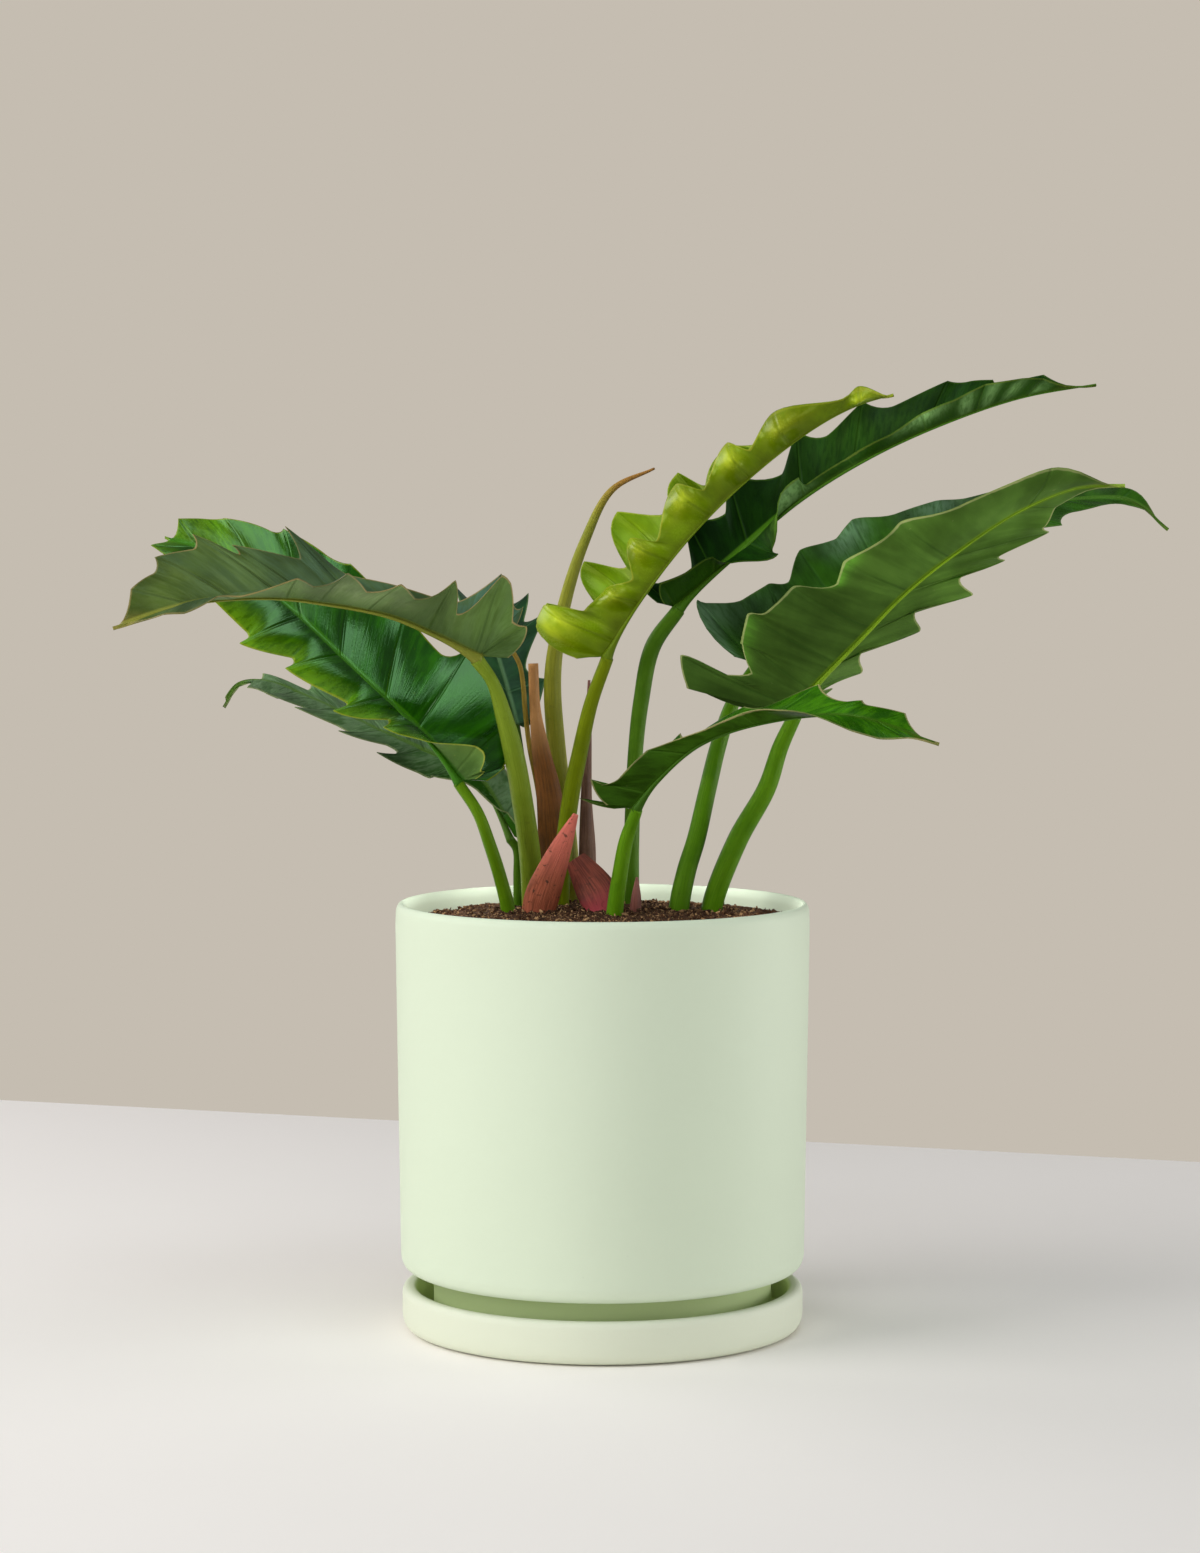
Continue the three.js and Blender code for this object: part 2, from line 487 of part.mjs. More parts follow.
// Inner outline of the pot from the rim down to the floor, drawn in by the given gap
function potInside(gap) {
  return [
    [POT_TOP_RADIUS - POT_WALL - gap, 213],
    [POT_TOP_RADIUS - POT_WALL - 0.2 - gap, 200],
    [POT_LOW_RADIUS - POT_WALL - gap, 46],
    [POT_LOW_RADIUS - 8.6 - gap, 39.6],
    [POT_FOOT_RADIUS - 1 - gap, 37 + gap],
    [POT_FOOT_RADIUS - 5.5 - gap, 33],
    [POT_FOOT_RADIUS - 6 - gap, 28],
    [POT_FOOT_RADIUS - 6 - gap, POT_FLOOR_TOP + 3],
    [POT_FOOT_RADIUS - 9 - gap, POT_FLOOR_TOP],
  ];
}

function potOutline() {
  const outside = [
    [DRAIN_HOLE_RADIUS, POT_FLOOR_TOP],
    [DRAIN_HOLE_RADIUS, SAUCER_FLOOR],
    [POT_FOOT_RADIUS - 1.5, SAUCER_FLOOR],
    [POT_FOOT_RADIUS, SAUCER_FLOOR + 1.5],
    [POT_FOOT_RADIUS, POT_SKIRT_Z],
    [POT_LOW_RADIUS - 7, POT_SKIRT_Z],
    [POT_LOW_RADIUS - 3.4, POT_SKIRT_Z + 1.2],
    [POT_LOW_RADIUS - 1, POT_SKIRT_Z + 3.6],
    [POT_LOW_RADIUS, POT_SKIRT_Z + 7],
    [POT_TOP_RADIUS - 0.9, 140],
    [POT_TOP_RADIUS, 206],
    [POT_TOP_RADIUS - 0.3, POT_HEIGHT - 3.2],
    [POT_TOP_RADIUS - 1.4, POT_HEIGHT - 0.9],
    [POT_TOP_RADIUS - 2.9, POT_HEIGHT],
    [POT_TOP_RADIUS - 4.4, POT_HEIGHT - 1],
  ];
  return [...outside, ...potInside(0), outside[0]];
}

function saucerOutline() {
  const inner = SAUCER_RADIUS - SAUCER_WALL;
  return [
    [0, 0],
    [SAUCER_RADIUS - 6, 0],
    [SAUCER_RADIUS - 2.6, 1.2],
    [SAUCER_RADIUS - 0.6, 4],
    [SAUCER_RADIUS, 8],
    [SAUCER_RADIUS, SAUCER_HEIGHT - 3],
    [SAUCER_RADIUS - 0.9, SAUCER_HEIGHT - 0.9],
    [SAUCER_RADIUS - 3, SAUCER_HEIGHT],
    [inner + 2, SAUCER_HEIGHT - 0.3],
    [inner + 0.4, SAUCER_HEIGHT - 1.8],
    [inner, SAUCER_HEIGHT - 4],
    [inner, SAUCER_FLOOR + 2],
    [inner - 2, SAUCER_FLOOR],
    [0, SAUCER_FLOOR],
  ];
}

function soilOutline() {
  const side = potInside(SOIL_FIT).slice(2).reverse();
  const edge = POT_TOP_RADIUS - POT_WALL - 0.2 - SOIL_FIT;
  const mound = [[edge, 200], [edge + 0.1, SOIL_EDGE_Z]];
  for (const share of [0.85, 0.65, 0.45, 0.25, 0]) {
    mound.push([edge * share, SOIL_EDGE_Z + SOIL_MOUND * (1 - share * share)]);
  }
  return [[0, POT_FLOOR_TOP], ...side, ...mound];
}

const wasm = await Module();
wasm.setup();

function toManifold(geometry) {
  const plain = geometry.clone();
  plain.deleteAttribute('normal');
  plain.deleteAttribute('uv');
  const merged = mergeVertices(plain, 1e-4);
  return new wasm.Manifold(new wasm.Mesh({
    numProp: 3,
    vertProperties: new Float32Array(merged.getAttribute('position').array),
    triVerts: new Uint32Array(merged.getIndex().array),
  }));
}

function fromManifold(body) {
  const mesh = body.getMesh();
  const geometry = new THREE.BufferGeometry();
  geometry.setAttribute('position', new THREE.Float32BufferAttribute(mesh.vertProperties, 3));
  geometry.setIndex(Array.from(mesh.triVerts));
  return geometry;
}

// Soil with one plain upright hole, round or oval, for each stem
function soilGeometry() {
  let soil = toManifold(roundBody(soilOutline()));
  const stems = [
    ...PETIOLES.map((s) => ({ foot: s.points[0], w: s.radii[0], d: s.radii[0] })),
    ...SHOOTS.map((s) => ({ foot: s.points[0], w: s.widths[0], d: s.depths[0] })),
  ];
  for (const { foot, w, d } of stems) {
    const low = foot[2] - STEM_DEPTH - SOIL_FIT;
    const hole = new THREE.CylinderGeometry(1, 1, 30, HOLE_SIDES);
    hole.rotateX(Math.PI / 2);
    hole.scale(w + HOLE_FIT, d + HOLE_FIT, 1);
    hole.translate(foot[0], foot[1], low + 15);
    soil = soil.subtract(toManifold(hole));
  }
  return fromManifold(soil);
}

const plant = new THREE.Group();
plant.name = 'potted_plant';

function addPart(name, geometry, color, roughness) {
  const material = new THREE.MeshStandardMaterial({ color, roughness });
  const mesh = new THREE.Mesh(geometry, material);
  mesh.name = name;
  plant.add(mesh);
}

addPart('saucer', roundBody(saucerOutline()), 0xd9dcc6, 0.7);
addPart('pot', roundBody(potOutline()), 0xd3dfc9, 0.7);
addPart('soil', soilGeometry(), 0x3d2b20, 1);
for (const leaf of LEAVES) addPart(leaf.name, bladeGeometry(leaf), leaf.color, 0.5);
for (const stalk of PETIOLES) addPart(stalk.name, petioleGeometry(stalk), stalk.color, 0.6);
for (const shoot of SHOOTS) addPart(shoot.name, shootGeometry(shoot), shoot.color, 0.7);

export default plant;
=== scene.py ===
import bpy
import numpy as np
from bpy.props import FloatProperty, FloatVectorProperty, IntProperty, PointerProperty
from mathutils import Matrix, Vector


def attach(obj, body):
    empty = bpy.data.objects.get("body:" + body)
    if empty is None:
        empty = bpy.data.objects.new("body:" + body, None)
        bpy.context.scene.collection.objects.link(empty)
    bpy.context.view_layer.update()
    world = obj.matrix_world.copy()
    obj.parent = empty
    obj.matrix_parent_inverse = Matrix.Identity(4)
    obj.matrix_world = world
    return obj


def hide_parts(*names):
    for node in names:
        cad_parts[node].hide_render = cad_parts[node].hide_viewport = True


bl_info = {
    "name": "Potted Saw-Leaf Plant",
    "version": (1, 0, 0),
    "blender": (4, 5, 0),
    "location": "View3D > Sidebar > Plant",
    "description": "A house plant with narrow saw-edged leaves in a pale mint ceramic cylinder on its saucer",
    "category": "Object",
}

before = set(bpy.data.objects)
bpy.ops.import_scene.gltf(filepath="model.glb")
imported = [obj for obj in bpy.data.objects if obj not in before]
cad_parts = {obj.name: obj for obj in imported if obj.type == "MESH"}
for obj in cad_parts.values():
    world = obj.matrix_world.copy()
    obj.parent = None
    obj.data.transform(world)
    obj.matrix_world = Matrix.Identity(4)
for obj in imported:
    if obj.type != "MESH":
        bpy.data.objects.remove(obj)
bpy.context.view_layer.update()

MM = 0.001
UP, BACKWARD = np.array([0.0, 0.0, 1.0]), np.array([0.0, 1.0, 0.0])


def linear(code):
    """Linear red, green, blue of a colour code such as #dfe8cf, each channel by the display curve."""
    share = np.array([int(code[k:k + 2], 16) for k in (1, 3, 5)]) / 255
    return tuple(np.where(share <= 0.04045, share / 12.92, ((share + 0.055) / 1.055) ** 2.4).tolist())


def rgba(colour):
    """Colour with an opaque fourth channel, from a code or from three linear channels."""
    return (*linear(colour), 1.0) if isinstance(colour, str) else (*tuple(colour)[:3], 1.0)


# Sizes and colours that a user would change


def length(name, description, default):
    return FloatProperty(name=name, description=description, default=default, min=0.0, unit="LENGTH")


def colour(name, description, code):
    return FloatVectorProperty(name=name, description=description, default=linear(code), size=3,
                               min=0.0, max=1.0, subtype="COLOR")


def factor(name, description, low, high):
    return FloatProperty(name=name, description=description, default=1.0, min=low, max=high, subtype="FACTOR")


class PotSettings(bpy.types.PropertyGroup):
    top_radius: length("Rim radius", "Outer radius of the pot at its rim", 0.105)
    low_radius: length("Skirt radius", "Outer radius of the pot just above its foot", 0.1026)
    height: length("Height", "Height of the rim above the ground", 0.217)
    wall: length("Wall", "Thickness of the pot's wall", 0.0055)
    foot_radius: length("Foot radius", "Outer radius of the recessed foot", 0.086)
    saucer_radius: length("Saucer radius", "Outer radius of the saucer", 0.102)
    saucer_height: length("Saucer height", "Height of the saucer's rim", 0.022)
    glaze: colour("Pot glaze", "Colour of the matte glaze on the pot", "#dbe8d0")
    saucer_glaze: colour("Saucer glaze", "Colour of the matte glaze on the saucer", "#e2e8d3")


class SoilSettings(bpy.types.PropertyGroup):
    edge_height: length("Edge height", "Height of the soil at the pot's wall", 0.207)
    mound: length("Mound", "Rise of the soil from the edge to the middle", 0.0045)
    grain: length("Grain", "Height of the crumbs on the surface", 0.0022)
    crumbs: IntProperty(name="Crumbs", description="Number of loose bark crumbs", default=1500, min=0)
    dark: colour("Dark peat", "Colour of the wet peat", "#3a2416")
    light: colour("Bark flecks", "Colour of the lightest bark flecks", "#bc9468")


class LeafSettings(bpy.types.PropertyGroup):
    thickness: length("Thickness", "Thickness of a blade away from its midrib", 0.0008)
    pleat: factor("Pleats", "Strength of the folds between side veins", 0.0, 3.0)
    gloss: factor("Gloss", "Strength of the waxy gloss", 0.0, 2.0)
    underside: colour("Underside", "Olive grey green of the leaves seen from below", "#668446")
    glossy: colour("Glossy leaf", "Deep green of the glossy leaf", "#144802")
    young: colour("Young leaf", "Yellow green of the youngest open leaf", "#6f960a")
    dark: colour("Dark leaf", "Dark green of the old leaves", "#0f2e04")


class StalkSettings(bpy.types.PropertyGroup):
    thickness: factor("Thickness", "Thickness of all leaf stalks", 0.5, 1.5)
    tone: factor("Tone", "Lightness of all leaf stalks", 0.2, 2.0)


class ShootSettings(bpy.types.PropertyGroup):
    spike: colour("Rolled leaf", "Yellow green of the rolled new leaf", "#9c9c28")
    russet: colour("Sheath russet", "Russet of the tall dry sheath", "#8a5218")
    pink: colour("Sheath pink", "Pink red of the fresh sheath", "#b46044")
    red: colour("Sheath red", "Dull red of the wide low sheath", "#9c4c3a")


class StageSettings(bpy.types.PropertyGroup):
    floor: colour("Floor", "Colour of the plain floor", "#fdf8f5")
    backdrop: colour("Backdrop", "Colour of the plain surroundings", "#c5bdb1")


# Shapes: curves, profiles and surfaces as whole arrays

LATTICE_CELLS = 32
LATTICE_START = 100.0
WELD_STEPS_PER_METRE = 1e7


def table(keys, values, at):
    """Smooth curve through values at keys: cubic pieces whose slope at each key is the weighted mean
    of the two neighbouring slopes."""
    keys = np.asarray(keys, float)
    values = np.asarray(values, float)
    slopes = np.gradient(values, keys)
    x = np.clip(np.asarray(at, float), keys[0], keys[-1])
    i = np.clip(np.searchsorted(keys, x, side="right") - 1, 0, len(keys) - 2)
    step = keys[i + 1] - keys[i]
    f = (x - keys[i]) / step
    f2, f3 = f ** 2, f ** 3
    return ((2 * f3 - 3 * f2 + 1) * values[i] + (f3 - 2 * f2 + f) * step * slopes[i]
            + (3 * f2 - 2 * f3) * values[i + 1] + (f3 - f2) * step * slopes[i + 1])


def smooth_step(low, high, x):
    """0 below low, 1 above high, and an S curve 3f^2 - 2f^3 between."""
    f = np.clip((np.asarray(x, float) - low) / (high - low), 0, 1)
    return f * f * (3 - 2 * f)


def unit(v):
    """Vectors scaled to the length 1."""
    return v / np.maximum(np.linalg.norm(v, axis=-1, keepdims=True), 1e-12)


def curve_at(points, at):
    """Points of a centripetal spline at shares of its length in spans, 0 to 1: each span is a cubic
    whose end slopes weigh the neighbouring spans by the square root of their lengths."""
    p = np.asarray(points, float)
    q = np.vstack([2 * p[0] - p[1], p, 2 * p[-1] - p[-2]])
    spans = len(p) - 1
    s = np.clip(np.asarray(at, float), 0, 1) * spans
    i = np.minimum(s.astype(int), spans - 1)
    f = (s - i)[:, None]
    p0, p1, p2, p3 = q[i], q[i + 1], q[i + 2], q[i + 3]
    d0, d1, d2 = (np.linalg.norm(b - a, axis=1, keepdims=True) ** 0.5
                  for a, b in ((p0, p1), (p1, p2), (p2, p3)))
    m1 = ((p1 - p0) / d0 - (p2 - p0) / (d0 + d1) + (p2 - p1) / d1) * d1
    m2 = ((p2 - p1) / d1 - (p3 - p1) / (d1 + d2) + (p3 - p2) / d2) * d1
    return p1 + m1 * f + (-3 * p1 + 3 * p2 - 2 * m1 - m2) * f ** 2 + (2 * p1 - 2 * p2 + m1 + m2) * f ** 3


def run_along(points):
    """Distance along a row of points from its first."""
    return np.concatenate([[0], np.cumsum(np.linalg.norm(np.diff(points, axis=0), axis=1))])


def soft_noise(points, size, seed):
    """Smooth noise from -1 to 1: random values on a cubic lattice of the given size, blended by S curves."""
    lattice = np.random.default_rng(seed).uniform(-1, 1, (LATTICE_CELLS,) * 3)
    p = np.asarray(points, float) / size + LATTICE_START
    i = np.floor(p).astype(int)
    f = p - i
    f = f * f * (3 - 2 * f)
    total = np.zeros(p.shape[:-1])
    for corner in np.ndindex(2, 2, 2):
        weight = np.prod(np.where(np.array(corner) == 1, f, 1 - f), axis=-1)
        j = (i + np.array(corner)) % LATTICE_CELLS
        total += weight * lattice[j[..., 0], j[..., 1], j[..., 2]]
    return total


def rounded(outline, radius, steps=5):
    """Closed outline with each corner replaced by a short curve: the quadratic curve between points set
    back from the corner by the radius, or by 0.45 of the shorter side."""
    p = np.asarray(outline, float)
    back = np.roll(p, 1, axis=0) - p
    ahead = np.roll(p, -1, axis=0) - p
    reach = np.minimum(np.linalg.norm(back, axis=1), np.linalg.norm(ahead, axis=1)) * 0.45
    reach = np.minimum(reach, radius)[:, None]
    start, end = p + unit(back) * reach, p + unit(ahead) * reach
    f = np.linspace(0, 1, steps)[None, :, None]
    curve = (1 - f) ** 2 * start[:, None] + 2 * f * (1 - f) * p[:, None] + f ** 2 * end[:, None]
    return curve.reshape(-1, 2)


def grid_faces(rows, columns, wrap_rows=False):
    """Quads of a grid of rows and columns, closed round the columns, and round the rows where asked."""
    i = np.arange(rows if wrap_rows else rows - 1)[:, None]
    j = np.arange(columns)[None, :]
    i1, j1 = (i + 1) % rows, (j + 1) % columns
    quads = np.stack([i * columns + j, i * columns + j1, i1 * columns + j1, i1 * columns + j], axis=-1)
    return quads.reshape(-1, 4)


def turn_angles(count):
    """Angles of a full turn in equal steps."""
    return np.linspace(0, 2 * np.pi, count, endpoint=False)


def turned(outline, columns):
    """Body of revolution: each outline point (radius, height) carried round the upright axis, point =
    (r cos a, r sin a, z), with a row for each point of the outline."""
    p, a = np.asarray(outline, float), turn_angles(columns)
    heights = np.repeat(p[:, 1:], columns, axis=1)
    return np.stack([p[:, :1] * np.cos(a), p[:, :1] * np.sin(a), heights], axis=-1)


def ends_twice(values):
    """Values with the first and the last of them repeated, for the rows that close a tube."""
    return np.concatenate([values[:1], values, values[-1:]])


def closed_tube(tube, first, last):
    """Grid of a tube with a row added at each end where all points meet in one."""
    closed = ends_twice(tube)
    closed[0], closed[-1] = first, last
    return closed


def part_of(grid, faces, tags, marks):
    """Part of a piece as lists: points in metres, quads, a material number per quad and marks per point,
    from a grid of points in millimetres and grids of marks."""
    flat = {key: np.asarray(value).reshape(-1, *np.shape(value)[2:]) for key, value in marks.items()}
    return grid.reshape(-1, 3) * MM, faces, np.broadcast_to(tags, len(faces)), flat


def joined(parts):
    """One set of points, quads, tags and marks from several parts."""
    start = np.cumsum([0] + [len(part[0]) for part in parts[:-1]])
    vertices = np.vstack([part[0] for part in parts])
    faces = np.vstack([part[1] + s for part, s in zip(parts, start)])
    tags = np.concatenate([part[2] for part in parts])
    marks = {key: np.concatenate([part[3][key] for part in parts]) for key in parts[0][3]}
    return vertices, faces, tags, marks


def welded(vertices, faces, tags):
    """Mesh arrays with equal points made one, and faces that shrink to less than a triangle left out."""
    keys = np.round(vertices * WELD_STEPS_PER_METRE).astype(np.int64)
    _, first, same = np.unique(keys, axis=0, return_index=True, return_inverse=True)
    mapped = same.ravel()[faces]
    distinct = np.stack([mapped[:, k] != mapped[:, (k + 1) % 4] for k in range(4)], axis=1)
    crossed = (mapped[:, 0] == mapped[:, 2]) | (mapped[:, 1] == mapped[:, 3])
    kept = (distinct.sum(axis=1) >= 3) & ~crossed
    return first, mapped[kept], distinct[kept], tags[kept]


def make_piece(name, vertices, faces, tags=0, marks=None, materials=()):
    """Object from points in metres, quads, a material number per quad and named marks per point."""
    first, quads, distinct, tags = welded(vertices, faces, np.broadcast_to(tags, len(faces)))
    corners = [quad[kept].tolist() for quad, kept in zip(quads, distinct)]
    mesh = bpy.data.meshes.new(name)
    mesh.from_pydata(vertices[first].tolist(), [], corners)
    for key, values in (marks or {}).items():
        values = np.asarray(values, np.float32)[first]
        kind, slot = ("FLOAT_VECTOR", "vector") if values.ndim == 2 else ("FLOAT", "value")
        mesh.attributes.new(key, kind, "POINT").data.foreach_set(slot, values.ravel())
    mesh.polygons.foreach_set("use_smooth", np.ones(len(corners), bool))
    for material in materials:
        mesh.materials.append(material)
    mesh.polygons.foreach_set("material_index", tags.astype(np.int32))
    mesh.validate()
    mesh.update()
    piece = bpy.data.objects.new(name, mesh)
    bpy.context.scene.collection.objects.link(piece)
    return piece


def dress(piece, slot, *nodes):
    """The piece moves with the plant and stands for the nodes, whose parts are hidden; the slot is not used.
    """
    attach(piece, "root")
    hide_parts(*nodes)
    return piece


# Finishes

SOCKETS = ("NodeSocketFloat", "NodeSocketColor")
EFFECT_OUTPUTS = ("Color", "Roughness", "Height")
EFFECT_INPUTS = {
    "leaf_skin": {
        # The patch colour is laid partly as painted sheen and painted highlight, partly as the leaf's own
        # tone
        "Blade Color": "#446622", "Streak Color": "#335511", "Patch Color": "#88aa33",
        "Vein Color": "#88aa55", "Rib Color": "#6a9a30", "Margin Color": "#c0b070",
        "Tip Color": "#77602a", "Wrinkles": 0.5, "Streaks": 0.6, "Vein Strength": 0.5,
        "Rib Strength": 0.8, "Margin Width": 0.6, "Margin Strength": 0.65, "Tip Start": 0.9,
        "Specks": 0.2, "Roughness": 0.35},
    "stalk_skin": {
        "Skin Color": "#557a26", "Line Color": "#3f5f1c", "Blush Color": "#8a5a3c", "Fleck Color": "#3a2a1c",
        "Lines": 0.5, "Blush Start": 0.8, "Blush End": 1.0, "Blush": 0.0, "Flecks": 0.2, "Roughness": 0.45},
    "matte_glaze": {
        # The fourth colour is a painted shade for the gap under the pot's skirt
        "Glaze Color": "#dcebcd", "Cloud Color": "#d3e2c2", "Pin Color": "#c3d2b2", "Recess Color": "#c4d79e",
        "Roughness": 0.6},
    "potting_soil": {"Dark Color": "#33241c", "Mid Color": "#5a4030", "Light Color": "#a98963"},
}
# Radius within which the glaze takes its painted shade, standing in for the shade under the skirt, and the
# width of its blend
PAINTED_SHADE_RADIUS, PAINTED_SHADE_BLEND = 0.0945, 0.002


class Bench:
    """Short words for making the nodes of one tree."""

    def __init__(self, tree):
        self.tree = tree

    def node(self, kind, inputs=None, **settings):
        """New node with its settings, and with values or links on its inputs."""
        made = self.tree.nodes.new("ShaderNode" + kind)
        for key, value in settings.items():
            setattr(made, key, value)
        for key, value in (inputs or {}).items():
            if isinstance(value, bpy.types.NodeSocket):
                self.tree.links.new(value, made.inputs[key])
            else:
                made.inputs[key].default_value = value
        return made

    def maths(self, operation, a, b, clamp=False):
        return self.node("Math", {0: a, 1: b}, operation=operation, use_clamp=clamp).outputs[0]

    def times(self, a, b):
        return self.maths("MULTIPLY", a, b)

    def plus(self, a, b, clamp=False):
        return self.maths("ADD", a, b, clamp)

    def minus(self, a, b):
        return self.maths("SUBTRACT", a, b)

    def ramp(self, value, low, high, start=0.0, end=1.0):
        """S curve from start at low to end at high."""
        return self.node("MapRange", {0: value, 1: low, 2: high, 3: start, 4: end},
                         interpolation_type="SMOOTHSTEP").outputs[0]

    def tinted(self, share, a, b, blend="MIX"):
        """Colour a turned by the share to b, or to the blend of a and b."""
        return self.node("Mix", {0: share, 6: a, 7: b}, data_type="RGBA", blend_type=blend).outputs[2]

    def noise(self, vector, scale, detail=3.0, roughness=0.5):
        inputs = {"Vector": vector, "Scale": scale, "Detail": detail, "Roughness": roughness}
        return self.node("TexNoise", inputs).outputs["Fac"]

    def vector(self, x, y, z=0.0):
        return self.node("CombineXYZ", {0: x, 1: y, 2: z}).outputs[0]

    def mark(self, name, output="Fac"):
        return self.node("Attribute", attribute_type="GEOMETRY", attribute_name=name).outputs[output]

    def lines(self):
        """The three numbers of the mark that runs with the lines of the skin."""
        return self.node("SeparateXYZ", {0: self.mark("lines", "Vector")}).outputs

    def place(self):
        return self.node("TexCoord").outputs["Object"]


def leaf_skin(b, entry):
    """Leaf skin: streaks along the side veins, patches of a second colour that are partly painted sheen and
    painted highlight and partly the leaf's own tone, clouds of lighter and darker tone, painted shade and
    painted highlight from the shade mark, a coloured tip, veins, a band beside the midrib, a thin margin,
    specks, and a relief of fine parallel veins."""
    across, out, half_mark = b.lines()
    place = b.place()
    stripe = b.vector(b.times(across, 5.0), b.times(out, 0.9), half_mark)
    hair = b.vector(b.times(across, 60.0), b.times(out, 2.0), half_mark)
    broad, fine, hairs = b.noise(stripe, 1.0, 2.0), b.noise(stripe, 4.5), b.noise(hair, 1.0, 1.0)
    cloud, grain = b.noise(place, 32.0, 4.0), b.noise(place, 900.0)
    streak = b.ramp(b.plus(b.times(broad, 0.6), b.times(fine, 0.4)), 0.4, 0.62)
    skin = b.tinted(b.times(streak, entry["Streaks"]), entry["Blade Color"], entry["Streak Color"])
    # Second colour: painted highlight on the swellings, and patches that are partly painted sheen and partly
    # the leaf's own tone
    patch = b.times(b.mark("tint"), b.ramp(fine, 0.3, 0.6, 0.45, 1.0))
    skin = b.tinted(patch, skin, entry["Patch Color"])
    # The shade mark darkens the skin as painted shade, and between the side veins of some halves lightens it
    # as a painted highlight
    dim = b.times(b.ramp(cloud, 0.35, 0.7, 0.68, 1.24), b.mark("shade"))
    dim = b.times(dim, b.ramp(broad, 0.3, 0.7, 0.86, 1.14))
    grey = b.node("CombineColor", {0: dim, 1: dim, 2: dim}).outputs[0]
    skin = b.tinted(1.0, skin, grey, "MULTIPLY")
    skin = b.tinted(b.ramp(b.mark("along"), entry["Tip Start"], 1.0), skin, entry["Tip Color"])
    vein = b.times(b.ramp(b.mark("from_vein"), 0.25, 0.9, 1.0, 0.0), b.ramp(out, 0.35, 1.0, 1.0, 0.25))
    skin = b.tinted(b.times(vein, entry["Vein Strength"]), skin, entry["Vein Color"])
    near_rib = b.times(b.ramp(b.mark("from_rib"), 0.7, 2.2, 1.0, 0.0), entry["Rib Strength"])
    skin = b.tinted(near_rib, skin, entry["Rib Color"])
    edge = b.minus(b.mark("from_edge"), b.times(b.noise(place, 260.0, 2.0), 0.8))
    rim = b.times(b.ramp(edge, 0.0, entry["Margin Width"], 1.0, 0.0), entry["Margin Strength"])
    rim = b.times(rim, b.ramp(cloud, 0.35, 0.62, 0.35, 1.05))
    skin = b.tinted(rim, skin, entry["Margin Color"])
    speck = b.ramp(b.noise(place, 420.0, 2.0), 0.72, 0.78, 0.0, 0.5)
    skin = b.tinted(b.times(speck, entry["Specks"]), skin, entry["Margin Color"])
    rough = b.plus(entry["Roughness"], b.ramp(cloud, 0.3, 0.75, -0.05, 0.09))
    rough = b.plus(rough, b.times(patch, 0.2))
    rough = b.plus(rough, b.ramp(grain, 0.3, 0.7, -0.03, 0.05), clamp=True)
    height = b.plus(b.times(hairs, 0.16), b.times(grain, 0.1))
    height = b.plus(height, b.times(fine, entry["Wrinkles"]))
    height = b.minus(height, b.ramp(b.mark("from_vein"), 0.1, 1.4, 0.9, 0.0))
    return skin, rough, height


def stalk_skin(b, entry):
    """Stalk skin: fine lengthwise lines, a cloudy tone, a blush that grows from one share of its length to
    another, and dark flecks."""
    round_mark, run, share = b.lines()
    place = b.place()
    lines = b.noise(b.vector(b.times(round_mark, 3.0), b.times(run, 0.03)), 2.0, 4.0, 0.6)
    cloud, grain = b.noise(place, 45.0, 4.0, 0.6), b.noise(place, 1100.0)
    streak = b.times(b.ramp(lines, 0.38, 0.66), entry["Lines"])
    skin = b.tinted(streak, entry["Skin Color"], entry["Line Color"])
    skin = b.tinted(b.ramp(cloud, 0.4, 0.7, 0.0, 0.55), skin, entry["Line Color"])
    blush = b.times(b.ramp(share, entry["Blush Start"], entry["Blush End"]), entry["Blush"])
    blush = b.times(blush, b.ramp(cloud, 0.25, 0.6, 0.75, 1.0))
    skin = b.tinted(blush, skin, entry["Blush Color"])
    fleck = b.times(b.ramp(b.noise(place, 380.0), 0.6, 0.72, 0.0, 0.8), entry["Flecks"])
    skin = b.tinted(fleck, skin, entry["Fleck Color"])
    rough = b.plus(entry["Roughness"], b.ramp(grain, 0.3, 0.7, -0.05, 0.08), clamp=True)
    return skin, rough, b.plus(lines, b.times(grain, 0.3))


def matte_glaze(b, entry):
    """Matte glaze: a very slight cloud in its tone, pin marks, an eggshell grain, and a painted shade: a
    deeper, greener tone on all that lies within a set radius of the upright axis, for the shade under the
    skirt."""
    place = b.place()
    cloud, grain, swell = b.noise(place, 9.0, 4.0), b.noise(place, 1500.0), b.noise(place, 140.0)
    skin = b.tinted(b.ramp(cloud, 0.3, 0.7, 0.0, 0.25), entry["Glaze Color"], entry["Cloud Color"])
    skin = b.tinted(b.ramp(b.noise(place, 620.0, 1.0), 0.8, 0.84, 0.0, 0.35), skin, entry["Pin Color"])
    flat = b.node("VectorMath", {0: place, 1: (1.0, 1.0, 0.0)}, operation="MULTIPLY").outputs[0]
    radius = b.node("VectorMath", {0: flat}, operation="LENGTH").outputs["Value"]
    # Painted shade: within that radius the glaze turns deeper and greener, for the shade and bounce light
    # under the skirt and in the saucer
    painted_shade = b.ramp(radius, PAINTED_SHADE_RADIUS, PAINTED_SHADE_RADIUS + PAINTED_SHADE_BLEND, 1.0, 0.0)
    skin = b.tinted(painted_shade, skin, entry["Recess Color"])
    rough = b.plus(entry["Roughness"], b.ramp(grain, 0.3, 0.7, -0.05, 0.05), clamp=True)
    return skin, rough, b.plus(b.times(grain, 0.35), swell)


